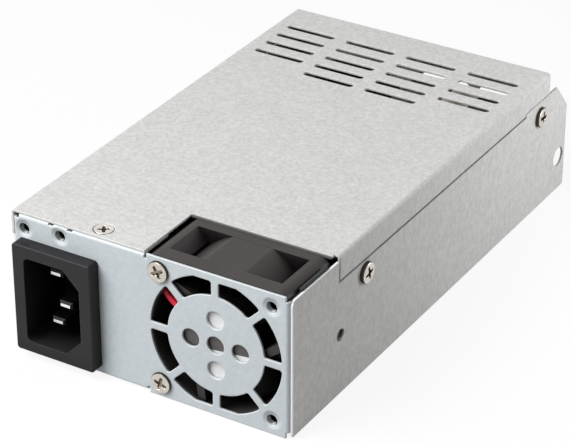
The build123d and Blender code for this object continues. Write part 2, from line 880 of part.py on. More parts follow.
def fan_header():
    """The header that the fan plug sits in."""
    x, y = fan_plug_place()
    left, right = x - header_side, x + plug_width + header_side
    back = y + plug_depth
    tray = block(left, right, y - header_lip, back, board_top, board_top + header_floor)
    return tray + block(left, right, back, back + header_wall, board_top, board_top + header_height)


# Mains inlet

def socket_outline():
    """The socket's mouth: square on the left, chamfered on the right, drawn as (X, Z)."""
    w = socket_width / 2
    h = socket_height / 2
    c = socket_chamfer
    outline = polygon((-w, -h), (w - c, -h), (w, c - h), (w, h - c), (w - c, h), (-w, h))
    return round_corners(outline, [(-w, -h, socket_corner_radius), (-w, h, socket_corner_radius)])


def at_inlet(shape):
    """Move a piece drawn about the inlet's centre with the flange front at y = 0."""
    return Pos(inlet_x, inlet_front_y, inlet_height) * shape


def inlet_pin_places():
    """Each pin's (X, Z) about the inlet centre and how far its point lies behind the flange front."""
    return {
        "line": (-pin_stagger / 2, pin_spacing / 2, pin_recess),
        "neutral": (-pin_stagger / 2, -pin_spacing / 2, pin_recess),
        "earth": (pin_stagger / 2, 0, earth_pin_recess),
    }


def inlet_housing():
    """The moulded inlet: a flange in front of the panel and a socket body behind it."""
    flange = RectangleRounded(inlet_flange_width, inlet_flange_height, inlet_corner_radius)
    body = slab_y(flange, 0, inlet_proud)
    body = fillet(body.edges().group_by(Axis.Y)[0], inlet_edge_round)
    back = inlet_proud + inlet_body_depth
    body += slab_y(Rectangle(inlet_body_width, inlet_body_height), inlet_proud, back)
    # snap latches behind the panel
    start = inlet_proud + sheet + inlet_cutout_gap
    for side in (-1, 1):
        edge = side * inlet_body_height / 2
        tip = edge + side * inlet_latch
        wedge = polygon((start, edge), (start, tip), (start + inlet_latch_length, edge))
        body += slab_x(wedge, -inlet_latch_width / 2, inlet_latch_width / 2)
    body -= slab_y(socket_outline(), -1, socket_depth)
    for x, z, recess in inlet_pin_places().values():
        slot = Pos(x, z) * Rectangle(pin_width, pin_thickness)
        body -= slab_y(slot, socket_depth - 1, back + 1)
    return at_inlet(body)


def inlet_pin(name):
    """One blade with its solder tab behind the housing."""
    x, z, recess = inlet_pin_places()[name]
    back = inlet_proud + inlet_body_depth
    blade = slab_y(Rectangle(pin_width, pin_thickness), recess, back)
    blade = chamfer(blade.edges().group_by(Axis.Y)[0], pin_point)
    tab = Rectangle(tab_terminal_width, tab_terminal_thickness)
    blade += slab_y(tab, back, back + tab_terminal_length)
    return at_inlet(Pos(x, 0, z) * blade)


def bend_radii(points):
    """A radius for each corner of a route, as large as its runs leave room for; an end run has one corner."""
    runs = [Vector(*end) - Vector(*start) for start, end in zip(points, points[1:])]
    rooms = [run.length * lead_bend_share for run in runs]
    rooms[0] *= 2
    rooms[-1] *= 2
    radii = []
    for number in range(len(runs) - 1):
        turn = math.radians(runs[number].get_angle(runs[number + 1]))
        radii.append(min(rooms[number], rooms[number + 1]) / math.tan(turn / 2))
    return radii


def mains_lead(points):
    """A stiff insulated lead along straight runs joined by arcs."""
    route = FilletPolyline(*points, radius=bend_radii(points))
    first = Vector(*points[1]) - Vector(*points[0])
    return sweep(Plane(origin=points[0], z_dir=first) * Circle(lead_radius), path=route)


def inlet_tab_end(name):
    """The end of an inlet tab in the row frame."""
    x, z, recess = inlet_pin_places()[name]
    back = inlet_proud + inlet_body_depth + tab_terminal_length
    return inlet_x + x, inlet_front_y + back, inlet_height + z


def line_lead():
    """The lead from the line tab down to the board in front of the fuse."""
    x, y, z = inlet_tab_end("line")
    far_x, far_y = board_x(fuse_from_left), board_y(lead_from_board_edge)
    points = [(x, y, z), (x, far_y, z), (far_x, far_y, z - line_lead_fall), (far_x, far_y, board_top)]
    return mains_lead(points)


def neutral_lead():
    """The lead from the neutral tab down to the board."""
    x, y, z = inlet_tab_end("neutral")
    far_y = board_y(lead_from_board_edge)
    return mains_lead([(x, y, z), (x, far_y, z), (x, far_y, board_top)])


def earth_lug_place():
    """Where the earth lug is screwed to the floor, midway between the inlet and the fan."""
    inlet_right = inlet_x + inlet_body_width / 2
    return (inlet_right + fan_left) / 2, face_y + panel_tongue_reach + lug_past_tongue


def earth_lead():
    """The earth lead from the inlet to the tail of the lug on the floor."""
    x, y, z = inlet_tab_end("earth")
    lug_x, lug_y = earth_lug_place()
    down_y = lug_y + lug_radius + lug_tail_length - lug_lead_inset
    points = [
        (x, y, z),
        (x, y + earth_lead_start, z),
        (lug_x, down_y, z),
        (lug_x, down_y, sheet + lug_thickness),
    ]
    return mains_lead(points)


def earth_lug():
    """The ring terminal of the earth lead."""
    x, y = earth_lug_place()
    half = lug_tail_width / 2
    lug = rod_z(lug_radius, sheet, sheet + lug_thickness, x, y)
    lug += block(x - half, x + half, y, y + lug_radius + lug_tail_length, sheet, sheet + lug_thickness)
    lug -= rod_z(case_screw_radius + sheet_gap, 0, sheet + 2 * lug_thickness, x, y)
    return lug


def earth_screw():
    """The screw that clamps the lug to the floor."""
    x, y = earth_lug_place()
    screw = plain_screw(pan_head_radius, lug_screw_head_height, case_screw_radius, lug_thickness)
    return Pos(x, y, sheet + lug_thickness) * screw


# Circuit board

def board_x(from_left):
    """X of a place measured from the board's left edge."""
    return -board_half + from_left


def board_y(from_front):
    """Y of a place measured from the board's front edge."""
    return board_front + from_front


def standoff_places():
    """Centres of the four standoffs, as (X, Y)."""
    x = board_half - standoff_from_side
    return [(side * x, y) for side in (-1, 1)
            for y in (board_front + standoff_from_front, board_back - standoff_from_rear)]


def board_standoffs():
    """Hexagonal standoffs on the floor."""
    posts = []
    for x, y in standoff_places():
        post = slab_z(RegularPolygon(standoff_across / 2, 6, major_radius=False), sheet, board_z)
        post -= rod_z(board_screw_radius, board_z - board_screw_length, board_z + 1)
        posts.append(Pos(x, y) * post)
    return group(posts)


def board_screws():
    """Screws through the board into the standoffs."""
    screws = []
    for x, y in standoff_places():
        screw = plain_screw(board_screw_head_radius, board_screw_head_height, board_screw_radius,
                            board_thickness + board_screw_length - 1)
        screws.append(Pos(x, y, board_top) * screw)
    return group(screws)


def main_board():
    """The main circuit board."""
    board = block(-board_half, board_half, board_front, board_back, board_z, board_top)
    for x, y in standoff_places():
        board -= rod_z(board_screw_radius + sheet_gap, 0, board_top + 1, x, y)
    return board


def stations(lengths, start, end):
    """Centres of pieces set in a row from start to end with equal gaps."""
    gap = (end - start - sum(lengths)) / (len(lengths) + 1)
    centres = []
    reached = start
    for length in lengths:
        centres.append(reached + gap + length / 2)
        reached += gap + length
    return centres


def can(radius, height, bevel):
    """A round capacitor standing at z = 0 with a rolled groove near its foot."""
    groove = radius * 0.06
    profile = polygon(
        (0, 0),
        (radius, 0),
        (radius, bevel * 1.5),
        (radius - groove, bevel * 2.2),
        (radius, bevel * 2.9),
        (radius, height - bevel),
        (radius - bevel, height),
        (0, height),
    )
    return revolve(Plane.XZ * profile, Axis.Z)


def ring_core(outer, inner, height):
    """A ring core lying flat on z = 0."""
    return rod_z(outer, 0, height) - rod_z(inner, -1, height + 1)


def winding_arc(outer, inner, height, wall, start, sweep_angle):
    """Wire wound round part of a ring core, as a shell of the wire's thickness."""
    shell = rod_z(outer + wall, -wall, height + wall) - rod_z(inner - wall, -wall - 1, height + wall + 1)
    shell -= ring_core(outer, inner, height)
    reach = 3 * outer
    count = max(2, math.ceil(sweep_angle / 60))
    points = [(0, 0)]
    for step in range(count + 1):
        angle = math.radians(start + sweep_angle * step / count)
        points.append((reach * math.cos(angle), reach * math.sin(angle)))
    return shell & slab_z(polygon(*points), -wall - 1, height + wall + 1)


# Sizes of the pieces in the left row, from the front: fuse, thermistor, storage and output capacitors
fuse_from_left = 3.6
fuse_length = 20.0
fuse_radius = 2.4
fuse_cap_radius = 2.6
fuse_cap_length = 5.0
fuse_height = 4.0
clip_length = 3.8
clip_inset = 0.6
clip_wall = 0.4
clip_mouth = 4.0
clip_rise = 1.4
disc_leg_radius = 0.4
disc_leg_length = 1.5
thermistor_from_left = 10.0
thermistor_radius = 5.4
thermistor_thickness = 4.0
bulk_from_left = 3.0
bulk_radius = 12.5
bulk_top_gap = 2.8
bulk_bevel = 1.4
output_can_from_left = 2.0
output_can_radius = 5.0
output_can_gap = 1.6
output_can_height = 22.0
output_can_bevel = 0.8
output_can_rows = 2

# Sizes of the pieces in the middle row: X capacitor, filter choke, rectifier, control board
x_capacitor_from_left = 12.0
x_capacitor_length = 13.0
x_capacitor_thickness = 6.0
x_capacitor_height = 14.5
x_capacitor_round = 0.6
middle_row_front = 2.0
filter_from_left = 20.5
filter_core_outer = 9.5
filter_core_inner = 5.2
filter_core_height = 8.0
filter_wire = 1.2
filter_foot = 1.2
filter_winding_gap = 40.0
rectifier_gap = 2.6
rectifier_width = 18.0
rectifier_thickness = 3.6
rectifier_height = 15.0
rectifier_lift = 3.0
rectifier_corner = 1.6
rectifier_legs = 4
rectifier_leg_pitch = 4.2
rectifier_leg_width = 1.0
rectifier_leg_thickness = 0.8
control_gap = 2.5
control_thickness = 1.2
control_length = 24.0
control_height = 22.0
chip_thickness = 1.7
chip_length = 8.5
chip_height = 5.0
chip_places = ((3.0, 12.0), (13.5, 11.0), (8.0, 3.5))

# Sizes of the pieces in the right row: the two chokes, Y capacitors and the two transformers
pfc_core_outer = 10.6
pfc_core_inner = 5.6
pfc_core_height = 10.0
pfc_wire = 1.3
pfc_gap = 1.2
pfc_winding_gap = 40.0
y_capacitor_count = 4
y_capacitor_radius = 3.6
y_capacitor_thickness = 2.6
y_capacitor_gap = 2.4
y_capacitor_from_choke = 1.5
standby_width = 16.0
standby_core_depth = 8.0
standby_height = 16.0
standby_leg = 2.8
standby_bar = 3.0
standby_foot = 1.5
standby_depth = 14.0
standby_foot_width = 14.0
standby_round = 2.0
output_core_outer = 8.6
output_core_inner = 4.6
output_core_height = 8.5
output_wire = 1.4
output_winding_gap = 50.0
transformer_from_right = 2.5
transformer_width = 25.0
transformer_length = 28.0
transformer_top_gap = 5.3
transformer_leg = 5.0
transformer_foot = 3.0
transformer_winding_proud = 4.5
transformer_winding_gap = 0.2
transformer_winding_round = 3.0
bobbin_inset = 3.6
bobbin_rail = 3.9
bobbin_rail_inset = 0.4
bobbin_cheek_height = 5.0
tape_width = 18.0
tape_thickness = 0.3
tape_from_foot = 3.0

# Heatsinks along the right edge and beside the transformer, and the power devices on them
sink_wall = 2.4
sink_edge_gap = 0.2
fin_reach = 3.2
fin_wall = 1.1
fin_pitch = 4.6
primary_sink_top_gap = 5.3
secondary_sink_top_gap = 6.3
primary_sink_front_gap = 2.5
primary_devices = 3
secondary_devices = 2
sink_to_transformer = 0.7
device_width = 10.0
device_height = 15.6
device_body_height = 9.6
device_thickness = 4.4
device_tab = 1.3
device_hole_drop = 2.8
device_leg = 4.2
device_leg_width = 0.8
device_leg_thickness = 0.5
device_leg_pitch = 2.54
device_leg_from_sink = 2.4
device_screw_head_radius = 2.6
device_screw_head_height = 1.8
device_screw_radius = 1.5

# Outer radii of the wound chokes
filter_radius = filter_core_outer + filter_wire
pfc_radius = pfc_core_outer + pfc_wire
output_radius = output_core_outer + output_wire

# The left row of pieces, kept clear of the standoffs' screws at both ends
screw_room = board_screw_head_radius + screw_gap
output_can_pitch = 2 * output_can_radius + output_can_gap
output_cans_length = (output_can_rows - 1) * output_can_pitch + 2 * output_can_radius
fuse_y, thermistor_y, bulk_y, output_cans_y = stations(
    [fuse_length, thermistor_thickness, 2 * bulk_radius, output_cans_length],
    standoff_from_front + screw_room,
    board_length - standoff_from_rear - screw_room,
)

# The middle row, up to the rectifier that stands beside the thermistor
x_capacitor_y, filter_y = stations(
    [x_capacitor_thickness, 2 * filter_radius],
    middle_row_front,
    thermistor_y - rectifier_thickness / 2,
)
rectifier_left = thermistor_from_left + thermistor_radius + rectifier_gap
bulk_right = bulk_from_left + 2 * bulk_radius
control_left = bulk_right + control_gap
control_right = control_left + control_thickness + chip_thickness

# The right row
pfc_y, y_capacitors_y, standby_y, output_choke_y, transformer_y = stations(
    [2 * pfc_radius, 2 * y_capacitor_radius, standby_depth, 2 * output_radius, transformer_length],
    0,
    board_length,
)
transformer_height = headroom - transformer_foot - transformer_top_gap
transformer_x = board_width - transformer_from_right - tape_thickness - transformer_width / 2
transformer_left = transformer_x - transformer_width / 2 - tape_thickness

# The heatsinks
primary_sink_x = board_width - sink_edge_gap - fin_reach - sink_wall
primary_sink_y = standoff_from_front + board_screw_head_radius + primary_sink_front_gap
primary_sink_end = transformer_y - transformer_length / 2 - primary_sink_front_gap
primary_sink_length = primary_sink_end - primary_sink_y
primary_sink_height = headroom - primary_sink_top_gap
secondary_sink_x = transformer_left - sink_to_transformer - fin_reach - sink_wall
secondary_sink_length = transformer_length
secondary_sink_height = headroom - secondary_sink_top_gap
devices_left = primary_sink_x - device_thickness
pfc_x = devices_left - pfc_gap - pfc_radius
standby_x = (rectifier_left + rectifier_width + devices_left) / 2
output_choke_x = (control_right + devices_left) / 2


def disc_part(radius, thickness):
    """A coated disc on edge, facing along Y, on two short legs that stand on z = 0."""
    lift = radius + disc_leg_length
    disc = rod_y(radius, -thickness / 2, thickness / 2, 0, lift)
    disc = chamfer(disc.edges().group_by(Axis.Y)[0], thickness * 0.25)
    disc = chamfer(disc.edges().group_by(Axis.Y)[-1], thickness * 0.25)
    for side in (-1, 1):
        disc += rod_z(disc_leg_radius, 0, lift, side * radius * 0.6, 0)
    return disc


def mains_fuse():
    """The glass fuse with its two end caps."""
    x, z = board_x(fuse_from_left), board_top + fuse_height
    start, end = board_y(fuse_y - fuse_length / 2), board_y(fuse_y + fuse_length / 2)
    fuse = rod_y(fuse_radius, start, end, x, z)
    fuse += rod_y(fuse_cap_radius, start, start + fuse_cap_length, x, z)
    return fuse + rod_y(fuse_cap_radius, end - fuse_cap_length, end, x, z)


def fuse_clips():
    """The two spring clips that hold the fuse."""
    x, z = board_x(fuse_from_left), board_top + fuse_height
    start, end = board_y(fuse_y - fuse_length / 2), board_y(fuse_y + fuse_length / 2)
    half = fuse_cap_radius + clip_wall
    clips = []
    for clip_y in (start + clip_inset, end - clip_inset - clip_length):
        clip = block(x - half, x + half, clip_y, clip_y + clip_length, board_top, z + clip_rise)
        clip -= rod_y(fuse_cap_radius, start, end, x, z)
        clip -= block(x - clip_mouth / 2, x + clip_mouth / 2, start, end, z, z + 2 * clip_rise)
        clips.append(clip)
    return group(clips)


def thermistor():
    """The inrush limiter, a larger coated disc."""
    place = Pos(board_x(thermistor_from_left), board_y(thermistor_y), board_top)
    return place * disc_part(thermistor_radius, thermistor_thickness)


def bulk_capacitor():
    """The large storage capacitor."""
    place = Pos(board_x(bulk_from_left + bulk_radius), board_y(bulk_y), board_top)
    return place * can(bulk_radius, headroom - bulk_top_gap, bulk_bevel)


def output_capacitors():
    """Rows of output capacitors near the cable exit, as many columns as there is room for."""
    room = secondary_sink_x - device_thickness - output_can_from_left
    cans = []
    for column in range(int(room // output_can_pitch)):
        for row in range(output_can_rows):
            x = output_can_from_left + output_can_radius + column * output_can_pitch
            y = output_cans_y + (row - (output_can_rows - 1) / 2) * output_can_pitch
            place = Pos(board_x(x), board_y(y), board_top)
            cans.append(place * can(output_can_radius, output_can_height, output_can_bevel))
    return group(cans)


def x_capacitor():
    """The boxed filter capacitor across the mains."""
    x, y = board_x(x_capacitor_from_left), board_y(x_capacitor_y)
    half = x_capacitor_thickness / 2
    body = block(x, x + x_capacitor_length, y - half, y + half, board_top, board_top + x_capacitor_height)
    return chamfer(body.edges().group_by(Axis.Z)[-1], x_capacitor_round)


def at_filter(shape):
    """Move a piece to the filter choke's place, its core lying on z = 0."""
    return Pos(board_x(filter_from_left), board_y(filter_y), board_top + filter_foot + filter_wire) * shape


def filter_core():
    """The ring core of the mains filter choke."""
    return at_filter(ring_core(filter_core_outer, filter_core_inner, filter_core_height))


def filter_windings():
    """The two windings of the mains filter choke."""
    halves = []
    for start in (0, 180):
        half = winding_arc(filter_core_outer, filter_core_inner, filter_core_height, filter_wire,
                           start + filter_winding_gap / 2, 180 - filter_winding_gap)
        halves.append(at_filter(half))
    return group(halves)


def filter_base():
    """The plastic foot under the filter choke."""
    return at_filter(rod_z(filter_radius, -filter_foot - filter_wire, -filter_wire))


def bridge_rectifier():
    """The flat rectifier block on four legs."""
    x, y = board_x(rectifier_left), board_y(thermistor_y)
    half = rectifier_thickness / 2
    low = board_top + rectifier_lift
    body = block(x, x + rectifier_width, y - half, y + half, low, low + rectifier_height)
    body = chamfer(body.edges().group_by(Axis.Z)[-1].sort_by(Axis.X)[0], rectifier_corner)
    middle = x + rectifier_width / 2
    for leg in range(rectifier_legs):
        leg_x = middle + (leg - (rectifier_legs - 1) / 2) * rectifier_leg_pitch
        body += block(leg_x - rectifier_leg_width / 2, leg_x + rectifier_leg_width / 2,
                      y - rectifier_leg_thickness / 2, y + rectifier_leg_thickness / 2, board_top, low)
    return body


def control_board():
    """The upright daughter board beside the storage capacitor."""
    x, y = board_x(control_left), board_y(bulk_y - control_length / 2)
    return block(x, x + control_thickness, y, y + control_length, board_top, board_top + control_height)


def control_chips():
    """The chips on the daughter board."""
    x, y = board_x(control_left + control_thickness), board_y(bulk_y - control_length / 2)
    chips = []
    for along, up in chip_places:
        chips.append(block(x, x + chip_thickness, y + along, y + along + chip_length,
                           board_top + up, board_top + up + chip_height))
    return group(chips)


def at_pfc(shape):
    """Move a piece to the power factor choke's place, its core lying on z = 0."""
    return Pos(board_x(pfc_x), board_y(pfc_y), board_top + pfc_wire) * shape


def pfc_core():
    """The ring core of the power factor choke."""
    return at_pfc(ring_core(pfc_core_outer, pfc_core_inner, pfc_core_height))


def pfc_winding():
    """The winding of the power factor choke."""
    sweep_angle = 360 - pfc_winding_gap
    return at_pfc(winding_arc(pfc_core_outer, pfc_core_inner, pfc_core_height, pfc_wire, -70, sweep_angle))


def y_capacitors():
    """The small coated disc capacitors to earth, side by side behind the filter choke."""
    pitch = y_capacitor_thickness + y_capacitor_gap
    first = filter_from_left + filter_radius + y_capacitor_from_choke + y_capacitor_thickness / 2
    discs = []
    for number in range(y_capacitor_count):
        place = Pos(board_x(first + number * pitch), board_y(y_capacitors_y), board_top)
        discs.append(place * Rot(0, 0, 90) * disc_part(y_capacitor_radius, y_capacitor_thickness))
    return group(discs)


def standby_transformer():
    """The small standby transformer with its taped winding."""
    half_w = standby_width / 2
    half_core = standby_core_depth / 2
    half_d = standby_depth / 2
    low = standby_foot
    high = standby_foot + standby_height
    window = (standby_leg - half_w, half_w - standby_leg)
    core = block(-half_w, half_w, -half_core, half_core, low, high)
    core -= block(*window, -half_d, half_d, low + standby_bar, high - standby_bar)
    winding = block(*window, -half_d, half_d, low + standby_bar, high - standby_bar)
    winding = fillet(winding.edges().filter_by(Axis.Z), standby_round)
    foot = block(-standby_foot_width / 2, standby_foot_width / 2, -half_d, half_d, 0, low)
    return Pos(board_x(standby_x), board_y(standby_y), board_top) * (core + winding + foot)


def at_output_choke(shape):
    """Move a piece to the output choke's place, its core lying on z = 0."""
    return Pos(board_x(output_choke_x), board_y(output_choke_y), board_top + output_wire) * shape


def output_choke_core():
    """The ring core of the output choke."""
    return at_output_choke(ring_core(output_core_outer, output_core_inner, output_core_height))


def output_choke_winding():
    """The heavy winding of the output choke."""
    sweep_angle = 360 - output_winding_gap
    return at_output_choke(winding_arc(output_core_outer, output_core_inner, output_core_height,
                                       output_wire, output_winding_gap / 2, sweep_angle))


# Main transformer

def at_transformer(shape):
    """Move a piece to the main transformer's place."""
    return Pos(board_x(transformer_x), board_y(transformer_y), board_top) * shape


def transformer_core():
    """The ferrite core: two outer legs joined over and under the winding."""
    half_w = transformer_width / 2
    half_l = transformer_length / 2 - transformer_winding_proud
    low = transformer_foot
    high = transformer_foot + transformer_height
    core = block(-half_w, half_w, -half_l, half_l, low, high)
    window = block(-half_w + transformer_leg, half_w - transformer_leg, -half_l - 1, half_l + 1,
                   low + transformer_leg, high - transformer_leg)
    return at_transformer(core - window)


def transformer_tape():
    """The tape wound round the outside of the core."""
    half_w = transformer_width / 2
    low = transformer_foot + tape_from_foot
    high = transformer_foot + transformer_height
    wall = tape_thickness
    band = block(-half_w - wall, half_w + wall, -tape_width / 2, tape_width / 2, low, high + wall)
    return at_transformer(band - block(-half_w, half_w, -tape_width, tape_width, 0, high))


def transformer_winding():
    """The taped winding inside the core, proud at both ends."""
    half_w = transformer_width / 2 - transformer_leg - transformer_winding_gap
    half_l = transformer_length / 2
    low = transformer_foot + transformer_leg + transformer_winding_gap
    high = transformer_foot + transformer_height - transformer_leg - transformer_winding_gap
    body = block(-half_w, half_w, -half_l, half_l, low, high)
    body = fillet(body.edges().filter_by(Axis.Z), transformer_winding_round)
    return at_transformer(body)


def transformer_bobbin():
    """The pin rails of the bobbin on the board and its cheeks beside the core."""
    half_w = transformer_width / 2 - bobbin_inset
    outer = transformer_length / 2 - bobbin_rail_inset
    rails = block(-half_w, half_w, bobbin_rail - outer, outer - bobbin_rail, 0, transformer_foot)
    for side in (-1, 1):
        y0, y1 = sorted((side * (outer - bobbin_rail), side * outer))
        rails += block(-half_w, half_w, y0, y1, 0, transformer_foot + bobbin_cheek_height)
    return at_transformer(rails)


# Heatsinks and the power devices on them

def heatsink(length, height):
    """An extruded heatsink along Y, its plain face at x = 0 and its fins towards +X."""
    body = block(0, sink_wall, 0, length, 0, height)
    for fin in range(int(height // fin_pitch)):
        z = height - fin_wall - fin * fin_pitch
        body += block(sink_wall / 2, sink_wall + fin_reach, 0, length, z, z + fin_wall)
    return body


def at_primary_sink(shape):
    """Move a piece to the primary heatsink's front corner."""
    return Pos(board_x(primary_sink_x), board_y(primary_sink_y), board_top) * shape


def at_secondary_sink(shape):
    """Move a piece to the secondary heatsink's front corner."""
    front = transformer_y - secondary_sink_length / 2
    return Pos(board_x(secondary_sink_x), board_y(front), board_top) * shape


def primary_heatsink():
    """The heatsink along the fan side of the board."""
    return at_primary_sink(heatsink(primary_sink_length, primary_sink_height))


def secondary_heatsink():
    """The heatsink of the output rectifiers."""
    return at_secondary_sink(heatsink(secondary_sink_length, secondary_sink_height))


def power_device():
    """A three-leg power device against the plane x = 0, its body on the -X side, standing over z = 0."""
    half = device_width / 2
    top = device_leg + device_height
    device = block(-device_tab, 0, -half, half, device_leg, top)
    device -= rod_x(device_screw_radius + sheet_gap, -device_tab - 1, 1, 0, top - device_hole_drop)
    device += block(-device_thickness, -device_tab / 2, -half, half,
                    device_leg, device_leg + device_body_height)
    leg_x = -device_leg_from_sink
    for leg in (-1, 0, 1):
        y = leg * device_leg_pitch
        device += block(leg_x - device_leg_thickness, leg_x, y - device_leg_width / 2,
                        y + device_leg_width / 2, 0, device_leg + 1)
    return device


def device_places(length, count):
    """Where the devices stand along a heatsink of this length."""
    return [Pos(0, length * (number + 0.5) / count, 0) for number in range(count)]


def primary_transistors():
    """The switching devices on the primary heatsink."""
    places = device_places(primary_sink_length, primary_devices)
    return group([at_primary_sink(place * power_device()) for place in places])


def output_rectifiers():
    """The rectifiers on the secondary heatsink."""
    places = device_places(secondary_sink_length, secondary_devices)
    return group([at_secondary_sink(place * power_device()) for place in places])


def device_screws():
    """The screws that clamp the power devices to their heatsinks."""
    screw = plain_screw(device_screw_head_radius, device_screw_head_height, device_screw_radius, device_tab)
    screw = Pos(-device_tab, 0, device_leg + device_height - device_hole_drop) * Rot(0, -90, 0) * screw
    screws = [at_primary_sink(place * screw) for place in device_places(primary_sink_length, primary_devices)]
    screws += [at_secondary_sink(place * screw)
               for place in device_places(secondary_sink_length, secondary_devices)]
    return group(screws)


nodes = {
    "base_chassis": base_chassis,
    "front_panel": front_panel,
    "top_cover": top_cover,
    "cover_top_screw": cover_top_screw,
    "cover_side_screws": cover_side_screws,
    "fan_screws": fan_screws,
    "cable_bush": cable_bush,
    "insulation_film": insulation_film,
    "inlet_housing": inlet_housing,
    "line_pin": lambda: inlet_pin("line"),
    "neutral_pin": lambda: inlet_pin("neutral"),
    "earth_pin": lambda: inlet_pin("earth"),
    "line_lead": line_lead,
    "neutral_lead": neutral_lead,
    "earth_lead": earth_lead,
    "earth_lug": earth_lug,
    "earth_screw": earth_screw,
    "fan_frame": fan_frame,
    "fan_label": fan_label,
    "fan_bearing": fan_bearing,
    "fan_board": fan_board,
    "fan_stator": fan_stator,
    "fan_windings": fan_windings,
    "fan_impeller": fan_impeller,
    "fan_magnet": fan_magnet,
    "fan_shaft": fan_shaft,
    "fan_lead_red": lambda: fan_lead(1),
    "fan_lead_black": lambda: fan_lead(-1),
    "fan_plug": fan_plug,
    "fan_header": fan_header,
    "main_board": main_board,
    "board_standoffs": board_standoffs,
    "board_screws": board_screws,
    "filter_core": filter_core,
    "filter_windings": filter_windings,
    "filter_base": filter_base,
    "x_capacitor": x_capacitor,
    "y_capacitors": y_capacitors,
    "thermistor": thermistor,
    "mains_fuse": mains_fuse,
    "fuse_clips": fuse_clips,
    "bridge_rectifier": bridge_rectifier,
    "bulk_capacitor": bulk_capacitor,
    "pfc_core": pfc_core,
    "pfc_winding": pfc_winding,
    "primary_heatsink": primary_heatsink,
    "secondary_heatsink": secondary_heatsink,
    "primary_transistors": primary_transistors,
    "output_rectifiers": output_rectifiers,
    "device_screws": device_screws,
    "transformer_core": transformer_core,
    "transformer_tape": transformer_tape,
    "transformer_winding": transformer_winding,
    "transformer_bobbin": transformer_bobbin,
    "standby_transformer": standby_transformer,
    "output_choke_core": output_choke_core,
    "output_choke_winding": output_choke_winding,
    "output_capacitors": output_capacitors,
    "control_board": control_board,
    "control_chips": control_chips,
}

for name, make in nodes.items():
    export_step(make(), f"parts/{name}.step")
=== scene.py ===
"""Dresses the slim power supply: camera, light, floor, materials and the finer pieces."""
import json
import math

import bpy
from mathutils import Matrix, Vector


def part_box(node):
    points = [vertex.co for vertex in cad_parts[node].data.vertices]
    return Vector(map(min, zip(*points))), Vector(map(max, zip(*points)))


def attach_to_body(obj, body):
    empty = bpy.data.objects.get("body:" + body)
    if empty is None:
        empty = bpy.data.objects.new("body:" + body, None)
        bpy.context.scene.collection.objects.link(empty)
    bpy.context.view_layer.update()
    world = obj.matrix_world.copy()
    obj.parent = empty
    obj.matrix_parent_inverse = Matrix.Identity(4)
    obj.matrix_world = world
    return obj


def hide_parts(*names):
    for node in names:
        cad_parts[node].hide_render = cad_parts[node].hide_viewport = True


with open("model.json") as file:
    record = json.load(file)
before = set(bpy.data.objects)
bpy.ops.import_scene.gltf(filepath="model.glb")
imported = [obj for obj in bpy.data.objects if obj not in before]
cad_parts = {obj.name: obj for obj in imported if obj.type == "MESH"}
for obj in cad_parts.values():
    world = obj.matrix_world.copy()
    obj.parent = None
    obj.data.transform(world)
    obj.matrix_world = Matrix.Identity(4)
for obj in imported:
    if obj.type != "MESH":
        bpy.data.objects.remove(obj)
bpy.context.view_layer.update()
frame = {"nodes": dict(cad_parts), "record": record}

MM = 0.001
nodes = frame["nodes"]
mounts = {mount["name"]: Vector(mount["pos_m"]) for mount in frame["record"]["mounts"]}
case_low, case_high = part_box("base_chassis")
cover_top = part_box("top_cover")[1].z
panel_low, panel_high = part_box("front_panel")
fan_low, fan_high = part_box("fan_frame")
fan_centre = (fan_low + fan_high) / 2
board_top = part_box("main_board")[1].z
fuse_low, fuse_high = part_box("mains_fuse")

# Camera, fitted to the case's edges in the photo
PHOTO_WIDTH = 571
PHOTO_FOCAL_PIXELS = 2514.9
SENSOR_WIDTH = 36
CAMERA_AZIMUTH = 31.175
CAMERA_ELEVATION = 29.77
CAMERA_ROLL = 0.017
CAMERA_DISTANCE = 668.5 * MM
CAMERA_TARGET = Vector((-1.31, -6.30, 15.73)) * MM
CAMERA_CLIP = (0.01, 20)

# Light: a soft key from the front left, and a small lamp beside the right side
SKY_STRENGTH = 0.20
KEY_PLACE = (-0.27, -0.43, 0.50)
KEY_TARGET = (0, -0.02, 0.02)
KEY_SIZE = 0.5
KEY_POWER = 5.5
SIDE_PLACE = (0.160, 0.100, 0.06)
SIDE_TARGET = (0.04, 0.030, 0.02)
SIDE_SIZE = 0.08
SIDE_POWER = 0.125

# Floor
FLOOR_REACH = 4.0
FLOOR_GREY = 0.28
FLOOR_GLOW = 0.88

# The part of a noise, and of the sum of two, that is stretched to the full range
NOISE_RANGE = (0.3, 0.7)
MOTTLE_RANGE = (0.7, 1.3)

# Zinc-coated sheet, colours linear
GALVANISED = (0.68, 0.675, 0.662)
PANEL_ZINC = (0.635, 0.685, 0.71)
ZINC_METALLIC = 0.12
ZINC_SPECULAR = 0.3
ZINC_GRAIN_DEPTH = 0.08 * MM
CLOUD_SCALE = 90
CLOUD_SPREAD = 0.04
CLOUD_SHARE = 0.35
# How strongly the sheet's sharp edges are lightened: a painted highlight
EDGE_HIGHLIGHT_SHARE = 0.85
CUT_EDGE_LIGHT = 1.6

# Edges that catch the light: the cosine of the rounded normal's turn where the mask starts and is full
EDGE_START = 0.985
EDGE_FULL = 0.72

# Painted shade in the seams, the notch gap, round the side hole and on the panel's returns, and painted
# highlights on the walls' cut edges, of the folded sheets
SEAM_WIDTH = 0.36 * MM
SEAM_HEIGHT = cover_top - 7.3 * MM
SEAM_SIDE = case_high.x - 0.05 * MM
SEAM_END = case_high.y - 26.2 * MM
FLANGE_FRONT = panel_low.y + 22.7 * MM
NOTCH_GAP = 0.3 * MM
NOTCH_FADE = (0.5 * MM, 0.3 * MM)
PEEP_HOLE = (-49.96 * MM, 17.8 * MM)
# The radius of the painted shade round the side wall's small hole
PEEP_SHADE_RADIUS = 1.65 * MM
# Where the side walls' cut edges get a painted highlight
WALL_TOP = (cover_top - 1.65 * MM, cover_top - 1.45 * MM)
WALL_FRONT = case_low.y + 0.3 * MM
RETURN_WIDTH = 1.3 * MM
RETURN_START = 1.3 * MM

